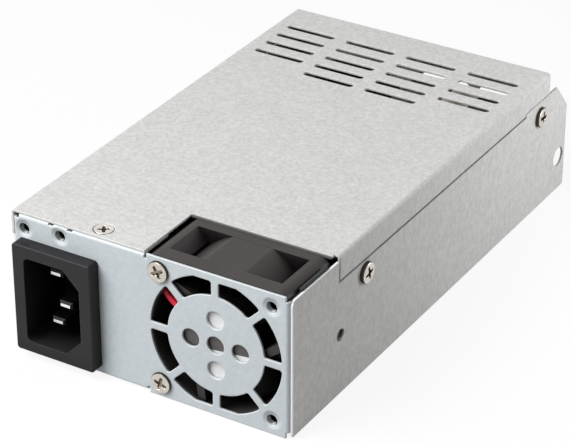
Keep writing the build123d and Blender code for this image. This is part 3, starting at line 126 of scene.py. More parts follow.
# The front panel's threaded holes, with a pressed hollow round each
THREAD_NAMES = ("corner_thread", "second_thread", "fan_side_upper_thread", "fan_side_lower_thread")
DIMPLE_INNER = 1.5 * MM
DIMPLE_OUTER = 2.8 * MM
DIMPLE_DEPTH = 0.45 * MM
THREAD_HOLE = 1.57 * MM
THREAD_CREST = 1.38 * MM
THREAD_PITCH = 0.5 * MM
THREAD_LENGTH = 1.8 * MM
THREAD_START = 0.1 * MM
THREAD_STEPS = 40

# Plain metals and plastics; a face looks to the front where its normal's y is below FACES_FRONT
METAL_VARIATION = 0.08
METAL_SCALE = 700
FACES_FRONT = -0.9
# A painted highlight on the pins' faces to the front
PIN_FRONT_HIGHLIGHT = (0.85, 0.84, 0.82)
PLASTIC_VARIATION = 0.12
PLASTIC_SCALE = 80
GRAIN_DEPTH = 0.1 * MM
# Painted shade within hollows: how dark, and the range of open share over which it fades
HOLLOW_SHADE = 0.08
HOLLOW_RANGE = (0.4, 0.9)

# The fan's label: a dark band, slightly turned
LABEL_SLOPE = 0.11
LABEL_BAND = (-2.0 * MM, 3.6 * MM)
LABEL_PAPER = ((0.82, 0.82, 0.82), (0.9, 0.9, 0.9))
LABEL_INK = ((0.075, 0.065, 0.065), (0.1, 0.088, 0.088))
LABEL_GRAIN = 1200

# Parts in two finishes
FINISH_GRAIN = 900
DEVICE_BODY = (board_top + 4.4 * MM, board_top + 14.0 * MM)
FUSE_GLASS = (fuse_low.y + 5 * MM, fuse_high.y - 5 * MM)
WRAPPED_PART = (17.5 * MM, 25.6 * MM)

# Screws; the recess is given for a head of the reference radius
SCREW_SEGMENTS = 96
HEAD_RINGS = 34
EDGE_RINGS = 5
HEAD_EDGE = 0.4 * MM
SCREW_PITCH = 0.5 * MM
SCREW_GROOVE = 0.18 * MM
SUNK_EDGE = 0.12 * MM
SUNK_REACH = 0.2 * MM
REFERENCE_HEAD = 2.9 * MM
RECESS_REACH = 1.95 * MM
RECESS_HALF_WIDTH = 0.42 * MM
RECESS_DEPTH = 1.0 * MM
RECESS_WALL = 0.22 * MM
RECESS_HUB = 0.95 * MM
RECESS_HUB_WALL = 0.5 * MM
RECESS_SEEN = 0.15 * MM
FAN_HEAD_SHARE = 0.95
FAN_SCREW_TURNS = (28, -17)
FAN_SCREW_SHANK = 2.1 * MM
FAN_SCREW_DOME = 0.12 * MM
COVER_SCREW_SHANK = 1.45 * MM
SIDE_SCREW_TURNS = (20, 65, 12, -8)
SIDE_SCREW_DOME = 0.2 * MM
SIDE_SCREW_LENGTH = 5 * MM
TOP_SCREW_TURN = 33
TOP_SCREW_GAP = 0.2 * MM
TOP_SCREW_SUNK = 1.25 * MM

# Wire on the ring cores: piece, core, plain winding, the hole's share of the core's radius,
# the start and sweep of each run in degrees, and the wire's thickness
RING_WIRES = (
    ("filter_wire", "filter_core", "filter_windings", 5.2 / 9.5, ((20, 140), (200, 140)), 1.2 * MM),
    ("pfc_wire", "pfc_core", "pfc_winding", 5.6 / 10.6, ((-70, 320),), 1.3 * MM),
    ("output_choke_wire", "output_choke_core", "output_choke_winding", 4.6 / 8.6, ((25, 310),), 1.4 * MM),
)
WIRE_STEPS = 20
WIRE_SPACING = 1.02
WIRE_SQUARENESS = 0.32

# Capacitor tops: piece, capacitors, their radius, and how many stand across and along
CAN_TOPS = (
    ("output_capacitor_tops", "output_capacitors", 5 * MM, 3, 2),
    ("bulk_capacitor_top", "bulk_capacitor", 12.5 * MM, 1, 1),
)
CAN_RINGS = 14
CAN_SEGMENTS = 72
CAN_SHARE = 0.86
CAN_LIFT = 0.12 * MM
CAN_SINK = 0.05 * MM
SCORE_DEPTH = 0.3 * MM
SCORE_WIDTH = 0.35 * MM
SCORE_REACH = 0.8

# The web of the cable bush
BUSH_LIP = 1.5 * MM
BUSH_RIM = 1.9 * MM
WEB_OVERLAP = 0.05 * MM
WEB_RINGS = 16
WEB_SEGMENTS = 96
WEB_HALF_THICKNESS = 0.35 * MM
WEB_SET_BACK = 0.6 * MM
WEB_DISH = 1.1 * MM
WEB_BEAD = 0.5 * MM
WEB_BEAD_PLACE = 0.55
WEB_BEAD_WIDTH = 0.06

# The red fan lead; its route gives the distance along its exit in mm, and the shares of the bow
# to the side and to the front
LEAD_ANGLE = 148
LEAD_RADIUS = 0.65 * MM
LEAD_SLEEVE = 0.3 * MM
LEAD_SHIFT = 0.8 * MM
LEAD_BOW = 1.25 * MM
LEAD_ROUTE = ((9.0, 0.0, 0.0), (11.5, 0.6, 0.3), (15.5, 1.0, 0.5), (20.0, 0.2, 0.0), (25.3, 0.0, 0.0))
LEAD_CORNER = Vector((-2.6, 14, -0.9)) * MM
LEAD_DROP = 3.2 * MM
LEAD_IN_PLUG = 0.5 * MM

# The fan housing's level middle
FAN_FRONT_RIM = 4.2 * MM
FAN_BACK_RIM = 3.0 * MM
DUCT_RADIUS = 20.2 * MM
DUCT_DROP = 0.55 * MM
CROWN_INSET = 0.04 * MM
CROWN_OVERLAP = 0.1 * MM
CROWN_THICKNESS = 0.5 * MM
CROWN_FLAT = 5.4 * MM
CROWN_REACH = 12.5 * MM
CROWN_STEPS = 40

# Smooth shading up to this angle between faces
SMOOTH_ANGLE = 35

# Plain metals: name, linear colour, roughness and the nodes that they dress
METALS = (
    ("nickel", (0.60, 0.56, 0.50), 0.22, "cover_top_screw", "cover_side_screws", "fan_screws", "earth_screw",
     "board_screws", "device_screws"),
    ("bright_nickel", (0.72, 0.69, 0.64), 0.25),
    # Darker copies of nickel for the screws' recesses and the sides of their heads: painted shade
    ("recess_nickel", (0.075, 0.06, 0.048), 0.3),
    ("light_recess", (0.3, 0.265, 0.225), 0.25),
    ("side_nickel", (0.06, 0.052, 0.045), 0.3),
    # Dark steel for the hole threads: painted shade inside the holes
    ("thread_steel", (0.13, 0.13, 0.13), 0.35),
    ("steel", (0.6, 0.6, 0.6), 0.3, "fan_shaft", "fan_stator"),
    ("tinned", (0.62, 0.6, 0.55), 0.3, "earth_lug", "fuse_clips", "board_standoffs"),
    ("copper", (0.5, 0.22, 0.09), 0.32, "fan_windings", "filter_windings", "pfc_winding",
     "output_choke_winding"),
    ("bronze", (0.42, 0.27, 0.13), 0.5, "fan_bearing"),
    ("aluminium", (0.28, 0.28, 0.28), 0.45, "primary_heatsink", "secondary_heatsink"),
)

# Plain plastics, coatings and cores, in the same form
PLASTICS = (
    ("rubber", (0.03, 0.03, 0.03), 0.6, "cable_bush"),
    ("film", (0.55, 0.5, 0.38), 0.3, "insulation_film"),
    ("brown_lead", (0.12, 0.045, 0.02), 0.35, "line_lead"),
    ("blue_lead", (0.02, 0.06, 0.25), 0.35, "neutral_lead"),
    ("green_lead", (0.05, 0.25, 0.03), 0.35, "earth_lead"),
    ("red_lead", (0.85, 0.015, 0.05), 0.35, "fan_lead_red"),
    ("black_lead", (0.015, 0.015, 0.015), 0.35, "fan_lead_black"),
    ("nylon", (0.65, 0.62, 0.52), 0.4, "fan_plug", "fan_header"),
    ("board_green", (0.03, 0.12, 0.04), 0.3, "main_board", "fan_board", "control_board"),
    ("green_core", (0.03, 0.16, 0.08), 0.35, "filter_core"),
    ("yellow_core", (0.5, 0.38, 0.06), 0.35, "pfc_core", "output_choke_core"),
    ("ferrite", (0.03, 0.03, 0.032), 0.55, "transformer_core"),
    ("magnet", (0.03, 0.028, 0.028), 0.6, "fan_magnet"),
    ("yellow_box", (0.55, 0.4, 0.06), 0.25, "x_capacitor"),
    ("blue_coat", (0.02, 0.08, 0.28), 0.25, "y_capacitors"),
    ("dark_coat", (0.03, 0.035, 0.03), 0.35, "thermistor"),
    ("epoxy", (0.02, 0.02, 0.021), 0.5, "bridge_rectifier", "control_chips"),
    ("sleeve", (0.03, 0.032, 0.04), 0.3, "bulk_capacitor", "output_capacitors"),
)


# Camera, light and floor

def add_camera():
    """The camera at the photo's place."""
    azimuth = math.radians(CAMERA_AZIMUTH)
    elevation = math.radians(CAMERA_ELEVATION)
    roll = math.radians(CAMERA_ROLL)
    back = Vector((
        math.sin(azimuth) * math.cos(elevation),
        -math.cos(azimuth) * math.cos(elevation),
        math.sin(elevation),
    ))
    right = Vector((0, 0, 1)).cross(back).normalized()
    up = back.cross(right)
    rolled_right = math.cos(roll) * right + math.sin(roll) * up
    rolled_up = math.cos(roll) * up - math.sin(roll) * right
    data = bpy.data.cameras.new("camera")
    data.sensor_width = SENSOR_WIDTH
    data.lens = PHOTO_FOCAL_PIXELS * SENSOR_WIDTH / PHOTO_WIDTH
    data.clip_start, data.clip_end = CAMERA_CLIP
    camera = bpy.data.objects.new("camera", data)
    turn = Matrix((rolled_right, rolled_up, back)).transposed().to_4x4()
    camera.matrix_world = Matrix.Translation(CAMERA_TARGET + back * CAMERA_DISTANCE) @ turn
    bpy.context.scene.collection.objects.link(camera)
    bpy.context.scene.camera = camera


def add_area_light(name, place, target, size, power):
    """A soft square lamp that faces a point."""
    data = bpy.data.lights.new(name, "AREA")
    data.size = size
    data.energy = power
    lamp = bpy.data.objects.new(name, data)
    lamp.location = place
    lamp.rotation_mode = "QUATERNION"
    lamp.rotation_quaternion = (Vector(target) - Vector(place)).to_track_quat("-Z", "Y")
    lamp.visible_camera = False
    bpy.context.scene.collection.objects.link(lamp)


def add_world():
    """Even studio light from all round, white to the camera and in reflections."""
    world = bpy.data.worlds.new("world")
    world.use_nodes = True
    helper = Nodes(world.node_tree)
    strength = helper.spread(helper.seen_rays(), 0.0, 1.0, SKY_STRENGTH, 1.0)
    light = helper.add("ShaderNodeBackground", in_Color=rgba((1, 1, 1)), in_Strength=strength)
    output = helper.add("ShaderNodeOutputWorld")
    helper.tree.links.new(light.outputs[0], output.inputs["Surface"])
    bpy.context.scene.world = world


def add_floor():
    """A pale floor that shows white to the camera and keeps the object's shadow."""
    mesh = bpy.data.meshes.new("floor")
    corners = [(x * FLOOR_REACH, y * FLOOR_REACH, 0) for x, y in ((-1, -1), (1, -1), (1, 1), (-1, 1))]
    mesh.from_pydata(corners, [], [(0, 1, 2, 3)])
    floor = bpy.data.objects.new("floor", mesh)
    bpy.context.scene.collection.objects.link(floor)
    material, helper = new_material("floor")
    plain = helper.add("ShaderNodeBsdfDiffuse", in_Color=rgba((FLOOR_GREY,) * 3))
    lit = helper.add("ShaderNodeBsdfDiffuse", in_Color=rgba((1, 1, 1)))
    glow = helper.add("ShaderNodeEmission", in_Color=rgba((1, 1, 1)), in_Strength=1.0)
    shown = helper.add("ShaderNodeMixShader", in_0=FLOOR_GLOW, in_1=lit.outputs[0], in_2=glow.outputs[0])
    helper.finish(helper.add("ShaderNodeMixShader", in_0=helper.seen_rays(), in_1=plain.outputs[0],
                             in_2=shown.outputs[0]))
    mesh.materials.append(material)


# Materials

def rgba(colour):
    """A colour with full alpha."""
    return (*colour, 1.0)


def scaled(colour, factor):
    """A colour made lighter or darker."""
    return tuple(min(1.0, part * factor) for part in colour)


class Nodes:
    """A short way to write a node tree."""

    def __init__(self, tree):
        self.tree = tree
        tree.nodes.clear()

    def add(self, kind, **values):
        """A node with its settings and the values of its inputs; a socket as a value is linked."""
        node = self.tree.nodes.new(kind)
        for key, value in values.items():
            if key.startswith("in_"):
                name = key[3:].replace("_", " ")
                self.feed(node.inputs[int(name)] if name.isdigit() else node.inputs[name], value)
            else:
                setattr(node, key, value)
        return node

    def feed(self, socket, value):
        """Link a socket to an input, or set the input's own value."""
        if isinstance(value, bpy.types.NodeSocket):
            self.tree.links.new(value, socket)
        else:
            socket.default_value = value

    def place(self):
        """The point on the surface, in the row frame, in metres."""
        return self.add("ShaderNodeTexCoord").outputs["Object"]

    def axis(self, vector, name):
        """One part of a vector."""
        return self.add("ShaderNodeSeparateXYZ", in_0=vector).outputs[name]

    def noise(self, place, scale, detail=2.0, roughness=0.5):
        """A noise value about 0.5."""
        return self.add("ShaderNodeTexNoise", in_Vector=place, in_Scale=scale, in_Detail=detail,
                        in_Roughness=roughness).outputs["Fac"]

    def stretched(self, place, stretch):
        """Coordinates scaled by axis, for streaks."""
        return self.add("ShaderNodeMapping", in_Vector=place, in_Scale=stretch).outputs["Vector"]

    def spread(self, value, low, high, to_low=0.0, to_high=1.0, smooth=False):
        """Map a value from one range to another, clamped."""
        kind = "SMOOTHSTEP" if smooth else "LINEAR"
        node = self.add("ShaderNodeMapRange", in_Value=value, clamp=True, interpolation_type=kind)
        limits = {"From Min": low, "From Max": high, "To Min": to_low, "To Max": to_high}
        for name, number in limits.items():
            node.inputs[name].default_value = number
        return node.outputs["Result"]

    def math(self, operation, a, b=0.0):
        """The result of one operation on two values."""
        return self.add("ShaderNodeMath", operation=operation, in_0=a, in_1=b).outputs[0]

    def vector(self, operation, a, b=(0, 0, 0)):
        """The node of one operation on two vectors."""
        return self.add("ShaderNodeVectorMath", operation=operation, in_0=a, in_1=b)

    def shade(self, colour_a, colour_b, factor):
        """Mix two colours by a factor."""
        node = self.add("ShaderNodeMix", data_type="RGBA", in_Factor=factor)
        sockets = [socket for socket in node.inputs if socket.type == "RGBA"]
        for socket, colour in zip(sockets, (colour_a, colour_b)):
            self.feed(socket, colour if isinstance(colour, bpy.types.NodeSocket) else rgba(colour))
        return next(socket for socket in node.outputs if socket.type == "RGBA")

    def mottled(self, colour, spread, factor):
        """A colour that varies by a share either way."""
        return self.shade(scaled(colour, 1 - spread), scaled(colour, 1 + spread), factor)

    def within(self, value, limits):
        """A mask that is 1 where a value lies between two limits."""
        return self.math("MULTIPLY", self.math("GREATER_THAN", value, limits[0]),
                         self.math("LESS_THAN", value, limits[1]))

    def normal(self):
        """The surface's own normal."""
        return self.add("ShaderNodeNewGeometry").outputs["Normal"]

    def edges(self, radius):
        """A mask that is 1 on sharp edges, and the rounded normal there."""
        rounded = self.add("ShaderNodeBevel", samples=8, in_Radius=radius).outputs["Normal"]
        dot = self.vector("DOT_PRODUCT", rounded, self.normal()).outputs["Value"]
        return self.spread(dot, EDGE_START, EDGE_FULL), rounded

    def seen_rays(self):
        """A mask that is 1 for what the camera sees, straight, in a reflection or through glass."""
        rays = self.add("ShaderNodeLightPath").outputs
        seen = self.math("MAXIMUM", rays["Is Camera Ray"], rays["Is Glossy Ray"])
        return self.math("MAXIMUM", seen, rays["Is Transmission Ray"])

    def finish(self, shader):
        """Link a shader to the material's output."""
        output = self.add("ShaderNodeOutputMaterial")
        self.tree.links.new(shader.outputs[0], output.inputs["Surface"])


def new_material(name):
    """An empty node material and its tree helper."""
    material = bpy.data.materials.new(name)
    material.use_nodes = True
    return material, Nodes(material.node_tree)


def zinc_material(name, colour, rough=0.66, grain=0.17, grain_scale=1600, streak=(800, 800, 560),
                  edge_radius=0.28 * MM, edge_light=1.45, relief=None, shadow=None, shade=0.22, light=None):
    """Zinc-coated sheet: fine mottle, short streaks and soft clouds, with a painted highlight on its cut
    edges, and painted shade and a painted highlight by place where masks are given.
    """
    material, helper = new_material(name)
    place = helper.place()
    fine = helper.noise(place, grain_scale, 2.0, 0.6)
    streaks = helper.noise(helper.stretched(place, streak), 1.0, 1.0)
    mottle = helper.math("ADD", fine, streaks)
    base = helper.mottled(colour, grain, helper.spread(mottle, *MOTTLE_RANGE))
    cloud = helper.spread(helper.noise(place, CLOUD_SCALE, 2.0), *NOISE_RANGE)
    base = helper.shade(base, helper.mottled(colour, CLOUD_SPREAD, cloud), CLOUD_SHARE)
    edge, rounded = helper.edges(edge_radius)
    # A painted highlight on the sharp edges
    base = helper.shade(base, scaled(colour, edge_light), helper.math("MULTIPLY", edge, EDGE_HIGHLIGHT_SHARE))
    # Painted shade where a shade mask is given
    if shadow:
        base = helper.shade(base, scaled(colour, shade), shadow(helper, place))
    # A painted highlight where a light mask is given
    if light:
        base = helper.shade(base, scaled(colour, CUT_EDGE_LIGHT), light(helper, place))
    normal = helper.add("ShaderNodeBump", in_Strength=0.10, in_Distance=ZINC_GRAIN_DEPTH, in_Height=fine,
                        in_Normal=rounded).outputs[0]
    if relief:
        normal = helper.add("ShaderNodeBump", in_Strength=1.0, in_Distance=1.0,
                            in_Height=relief(helper, place), in_Normal=normal).outputs[0]
    gloss = helper.spread(mottle, *MOTTLE_RANGE, rough - 0.05, rough + 0.05)
    helper.finish(helper.add("ShaderNodeBsdfPrincipled", in_Base_Color=base, in_Metallic=ZINC_METALLIC,
                             in_Normal=normal, in_Specular_IOR_Level=ZINC_SPECULAR, in_Roughness=gloss))
    return material


def seam_shade(helper, place):
    """A mask of painted shade along the dark line where the cover's sides meet the chassis."""
    outside = helper.math("GREATER_THAN", helper.math("ABSOLUTE", helper.axis(place, "X")), SEAM_SIDE)
    ahead = helper.math("LESS_THAN", helper.axis(place, "Y"), SEAM_END)
    from_seam = helper.math("SUBTRACT", helper.axis(place, "Z"), SEAM_HEIGHT)
    from_front = helper.math("SUBTRACT", helper.axis(place, "Y"), FLANGE_FRONT)
    behind = helper.math("GREATER_THAN", from_front, -SEAM_WIDTH)
    above = helper.math("GREATER_THAN", from_seam, -SEAM_WIDTH)
    lengthwise = helper.spread(helper.math("ABSOLUTE", from_seam), SEAM_WIDTH, 0.4 * SEAM_WIDTH)
    upright = helper.spread(helper.math("ABSOLUTE", from_front), SEAM_WIDTH, 0.4 * SEAM_WIDTH)
    line = helper.math("MAXIMUM", helper.math("MULTIPLY", lengthwise, behind),
                       helper.math("MULTIPLY", upright, above))
    return helper.math("MULTIPLY", line, helper.math("MULTIPLY", outside, ahead))


def cover_shadow(helper, place):
    """Painted shade: the seam, and the dark gap between the cover's notch and the fan."""
    from_notch = helper.math("SUBTRACT", helper.axis(place, "Y"), fan_high.y + NOTCH_GAP)
    # Painted shade in the gap at the notch
    gap = helper.spread(helper.math("ABSOLUTE", from_notch), *NOTCH_FADE)
    right = helper.math("GREATER_THAN", helper.axis(place, "X"), fan_low.x - NOTCH_GAP)
    return helper.math("MAXIMUM", helper.math("MULTIPLY", gap, right), seam_shade(helper, place))


def chassis_shadow(helper, place):
    """Painted shade: the seam, and a dark ring round the small hole in the right side wall."""
    along = helper.math("SUBTRACT", helper.axis(place, "Y"), PEEP_HOLE[0])
    up = helper.math("SUBTRACT", helper.axis(place, "Z"), PEEP_HOLE[1])
    square = helper.math("ADD", helper.math("MULTIPLY", along, along), helper.math("MULTIPLY", up, up))
    # Painted shade in a ring round the hole
    rim = helper.math("LESS_THAN", square, PEEP_SHADE_RADIUS ** 2)
    right = helper.math("GREATER_THAN", helper.axis(place, "X"), SEAM_SIDE)
    return helper.math("MAXIMUM", helper.math("MULTIPLY", rim, right), seam_shade(helper, place))


def wall_edge_highlight(helper, place):
    """A mask of painted highlight on the side walls' cut edges: on top beside the fan, and at the front."""
    top = helper.within(helper.axis(place, "Z"), WALL_TOP)
    front = helper.math("LESS_THAN", helper.axis(place, "Y"), WALL_FRONT)
    return helper.math("MAXIMUM", top, front)


def panel_shadow(helper, place):
    """A mask of the front panel's side returns, which lie in the shade of the side walls."""
    across = helper.math("ABSOLUTE", helper.axis(place, "X"))
    side = helper.math("GREATER_THAN", across, panel_high.x - RETURN_WIDTH)
    behind = helper.math("GREATER_THAN", helper.axis(place, "Y"), panel_low.y + RETURN_START)
    return helper.math("MULTIPLY", side, behind)


def panel_relief(helper, place):
    """A height that sinks smoothly round the threaded holes."""
    height = 0.0
    for name in THREAD_NAMES:
        offset = helper.vector("SUBTRACT", place, mounts[name]).outputs[0]
        flat = helper.vector("MULTIPLY", offset, (1, 0, 1)).outputs[0]
        far = helper.vector("LENGTH", flat).outputs["Value"]
        sunk = helper.spread(far, DIMPLE_INNER, DIMPLE_OUTER, -DIMPLE_DEPTH, 0.0, smooth=True)
        height = helper.math("ADD", height, sunk)
    return height


def metal_material(name, colour, rough, edge_radius=0.0, front=None):
    """Metal with a light variation of colour and gloss, perhaps a painted highlight in another colour on
    faces to the front.
    """
    material, helper = new_material(name)
    place = helper.place()
    cloud = helper.noise(place, METAL_SCALE, 3.0)
    scratch = helper.noise(helper.stretched(place, (METAL_SCALE * 6, METAL_SCALE, METAL_SCALE * 2)), 1.0, 2.0)
    base = helper.mottled(colour, METAL_VARIATION, helper.spread(cloud, *NOISE_RANGE))
    # A painted highlight on faces to the front
    if front:
        facing = helper.math("LESS_THAN", helper.axis(helper.normal(), "Y"), FACES_FRONT)
        base = helper.shade(base, front, facing)
    bump = helper.add("ShaderNodeBump", in_Strength=0.06, in_Distance=GRAIN_DEPTH, in_Height=scratch)
    if edge_radius:
        helper.feed(bump.inputs["Normal"], helper.edges(edge_radius)[1])
    gloss = helper.spread(scratch, *NOISE_RANGE, rough - 0.04, rough + 0.08)
    helper.finish(helper.add("ShaderNodeBsdfPrincipled", in_Base_Color=base, in_Metallic=1.0,
                             in_Normal=bump.outputs[0], in_Roughness=gloss))
    return material


def plastic_material(name, colour, rough=0.45, texture=1500, bump_strength=0.12, edge_radius=0.0,
                     edge_light=1.5, specular=0.5, hollow=0.0):
    """Moulded plastic with a fine spark-eroded grain, with a painted highlight on its edges and painted shade
    within hollows of a given width.
    """
    material, helper = new_material(name)
    place = helper.place()
    fine = helper.noise(place, texture, 2.0)
    base = helper.mottled(colour, PLASTIC_VARIATION, helper.noise(place, PLASTIC_SCALE, 2.0))
    bump = helper.add("ShaderNodeBump", in_Strength=bump_strength, in_Distance=GRAIN_DEPTH, in_Height=fine)
    if edge_radius:
        # A painted highlight on the sharp edges
        edge, rounded = helper.edges(edge_radius)
        base = helper.shade(base, scaled(colour, edge_light), edge)
        helper.feed(bump.inputs["Normal"], rounded)
    # Painted shade within hollows, by ambient occlusion
    if hollow:
        open_share = helper.add("ShaderNodeAmbientOcclusion", samples=8, in_Distance=hollow).outputs["AO"]
        base = helper.shade(scaled(colour, HOLLOW_SHADE), base, helper.spread(open_share, *HOLLOW_RANGE))
    gloss = helper.spread(fine, *NOISE_RANGE, rough - 0.05, rough + 0.05)
    helper.finish(helper.add("ShaderNodeBsdfPrincipled", in_Base_Color=base, in_Normal=bump.outputs[0],
                             in_Specular_IOR_Level=specular, in_Roughness=gloss))
    return material


def banded_material(name, axis, limits, colours, metallic, rough=0.35):
    """Two finishes by place along one axis: the first between the limits, the second outside them."""
    material, helper = new_material(name)
    place = helper.place()
    inside = helper.within(helper.axis(place, axis), limits)
    fine = helper.noise(place, FINISH_GRAIN, 2.0)
    base = helper.shade(helper.mottled(colours[1], 0.1, fine), helper.mottled(colours[0], 0.15, fine), inside)
    metal = helper.spread(inside, 0, 1, metallic[1], metallic[0])
    gloss = helper.spread(fine, *NOISE_RANGE, rough - 0.06, rough + 0.06)
    helper.finish(helper.add("ShaderNodeBsdfPrincipled", in_Base_Color=base, in_Metallic=metal,
                             in_Roughness=gloss))
    return material


def label_material(name):
    """The fan's paper label: white, with a dark band across it, slightly turned."""
    material, helper = new_material(name)
    place = helper.place()
    fine = helper.noise(place, LABEL_GRAIN, 2.0)
    x = helper.math("SUBTRACT", helper.axis(place, "X"), fan_centre.x)
    z = helper.math("SUBTRACT", helper.axis(place, "Z"), fan_centre.z)
    across = helper.math("SUBTRACT", z, helper.math("MULTIPLY", x, LABEL_SLOPE))
    paper = helper.shade(*LABEL_PAPER, fine)
    ink = helper.shade(*LABEL_INK, fine)
    base = helper.shade(paper, ink, helper.within(across, LABEL_BAND))
    gloss = helper.spread(fine, *NOISE_RANGE, 0.3, 0.42)
    helper.finish(helper.add("ShaderNodeBsdfPrincipled", in_Base_Color=base, in_Roughness=gloss))
    return material


def dress(material, *names):
    """Give CAD nodes a material."""
    for name in names:
        if not nodes[name].material_slots:
            nodes[name].data.materials.append(material)
        for slot in nodes[name].material_slots:
            slot.material = material


# Pieces: meshes and tubes that ride on the case

def rise(value):
    """A smooth step from 0 to 1."""
    value = min(1.0, max(0.0, value))
    return value * value * (3 - 2 * value)


def band_faces(first, rings, segments, flip=False):
    """Faces between rings of points that follow one another."""
    faces = []
    for ring in range(rings - 1):
        inner = first + ring * segments
        outer = inner + segments
        for step in range(segments):
            following = (step + 1) % segments
            face = (inner + step, outer + step, outer + following, inner + following)
            faces.append(face[::-1] if flip else face)
    return faces


def fan_faces(middle, first, segments):
    """Faces from a middle point to the ring round it."""
    return [(middle, first + step, first + (step + 1) % segments) for step in range(segments)]


def attach(piece, stands_for):
    """Put a piece into the scene on the case, perhaps in place of a CAD node."""
    bpy.context.scene.collection.objects.link(piece)
    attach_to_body(piece, "case")
    if stands_for:
        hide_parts(stands_for)


def add_piece(name, vertices, faces, materials, stands_for=None, finishes=()):
    """A mesh piece in the row frame; finishes gives each face's material."""
    mesh = bpy.data.meshes.new(name)
    mesh.from_pydata([tuple(vertex) for vertex in vertices], [], faces)
    for material in materials:
        mesh.materials.append(material)
    for number, finish in enumerate(finishes):
        mesh.polygons[number].material_index = finish
    mesh.shade_smooth()
    mesh.set_sharp_from_angle(angle=math.radians(SMOOTH_ANGLE))
    attach(bpy.data.objects.new(name, mesh), stands_for)


def new_tube(name, radius, roundness, material):
    """A curve with a round section."""
    curve = bpy.data.curves.new(name, "CURVE")
    curve.dimensions = "3D"
    curve.bevel_depth = radius
    curve.bevel_resolution = roundness
    curve.materials.append(material)
    return curve


def add_spline(curve, kind, points):
    """A spline through or along some points."""
    spline = curve.splines.new(kind)
    spline.points.add(len(points) - 1)
    for number, point in enumerate(points):
        spline.points[number].co = (*point, 1.0)
    return spline


# Screws, turned about their own axis with the head's seat at z = 0 and the head above it

def recess_depth(x, y, scale):
    """How deep the cross recess is at a point of the head."""
    reach = RECESS_REACH * scale
    depth = 0.0
    for along, across in ((x, y), (y, x)):
        half = RECESS_HALF_WIDTH * scale * (1.15 - 0.35 * abs(along) / reach)
        side = rise((half + RECESS_WALL / 2 - abs(across)) / RECESS_WALL)
        end = rise((reach - abs(along)) / (2 * RECESS_WALL))
        depth = max(depth, side * end * (1 - 0.5 * (along / reach) ** 2))
    hub = rise((RECESS_HUB * scale - math.hypot(x, y)) / (RECESS_HUB_WALL * scale)) * 0.9
    return max(depth, hub) * RECESS_DEPTH * scale


def screw_rings(head_radius, head_height, shank_radius, length, sunk, dome):
    """Rings (radius, height) of a screw from the middle of its head to its tip."""
    edge = SUNK_EDGE if sunk else min(HEAD_EDGE, head_height * 0.45)
    inner = head_radius - edge
    low = head_height - dome
    shares = [step / HEAD_RINGS for step in range(1, HEAD_RINGS + 1)]
    rings = [(inner * share, head_height - dome * share ** 2) for share in shares]
    for step in range(1, EDGE_RINGS + 1):
        angle = math.pi / 2 * step / EDGE_RINGS
        rings.append((inner + edge * math.sin(angle), low - edge + edge * math.cos(angle)))
    if not sunk:
        rings.append((head_radius, 0.0))
    rings.append((shank_radius, -sunk))
    turns = int(length / SCREW_PITCH)
    for turn in range(1, 2 * turns):
        groove = SCREW_GROOVE if turn % 2 else 0
        rings.append((shank_radius - groove, -sunk - turn * (length - sunk) / (2 * turns)))
    rings.append((shank_radius * 0.6, -length))
    return rings


def screw_points(place, rings, head_height, scale, sunk):
    """The points of one screw: the middle of its head, then its rings."""
    points = [place @ Vector((0, 0, head_height - recess_depth(0, 0, scale)))]
    for radius, height in rings:
        on_head = height > 0 or sunk and height > -SUNK_REACH
        for step in range(SCREW_SEGMENTS):
            angle = 2 * math.pi * step / SCREW_SEGMENTS
            x = radius * math.cos(angle)
            y = radius * math.sin(angle)
            cut = recess_depth(x, y, scale) if on_head else 0.0
            points.append(place @ Vector((x, y, height - cut)))
    return points


def screw_finishes(rings, head_rings, scale):
    """The finish of each face of one screw: 0 the head's face, 1 its recess, 2 the rest; 1 and 2 are darker
    copies that paint shade.
    """
    finishes = [1] * SCREW_SEGMENTS
    for ring in range(len(rings) - 1):
        radius = (rings[ring][0] + rings[ring + 1][0]) / 2
        for step in range(SCREW_SEGMENTS):
            angle = 2 * math.pi * (step + 0.5) / SCREW_SEGMENTS
            cut = recess_depth(radius * math.cos(angle), radius * math.sin(angle), scale)
            recessed = 1 if cut > RECESS_SEEN else 0
            finishes.append(recessed if ring < head_rings + 1 else 2)
    return finishes + [2]


def add_screws(name, places, turns, head_radius, head_height, shank_radius, length, materials, stands_for,
               sunk=0.0, dome=0.0):
    """Some equal screws, each turned about its axis by its own angle."""
    rings = screw_rings(head_radius, head_height, shank_radius, length, sunk, dome)
    scale = head_radius / REFERENCE_HEAD
    head_rings = sum(1 for radius, height in rings if height > head_height - dome - 0.01 * MM)
    vertices, faces, finishes = [], [], []
    for place, turn in zip(places, turns):
        twist = Matrix.Rotation(math.radians(turn), 4, "Z")
        first = len(vertices)
        last = first + 1 + (len(rings) - 1) * SCREW_SEGMENTS
        vertices += screw_points(place @ twist, rings, head_height, scale, sunk)
        faces += fan_faces(first, first + 1, SCREW_SEGMENTS)
        faces += band_faces(first + 1, len(rings), SCREW_SEGMENTS)
        faces.append(tuple(last + step for step in reversed(range(SCREW_SEGMENTS))))
        finishes += screw_finishes(rings, head_rings, scale)
    add_piece(name, vertices, faces, materials, stands_for, finishes)


def turned(point, direction):
    """A place at a point, with its z axis along a direction."""
    return Matrix.Translation(point) @ Vector(direction).to_track_quat("Z", "Y").to_matrix().to_4x4()


def add_fan_screws(materials):
    """The two fan screws on the front panel."""
    low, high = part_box("fan_screws")
    seat = panel_low.y
    radius = (high.x - low.x) / 2
    middle = (low.x + high.x) / 2
    places = [turned((middle, seat, height), (0, -1, 0)) for height in (high.z - radius, low.z + radius)]
    add_screws("fan_screw_pair", places, FAN_SCREW_TURNS, radius * FAN_HEAD_SHARE, seat - low.y,
               FAN_SCREW_SHANK, high.y - seat, materials, "fan_screws", dome=FAN_SCREW_DOME)


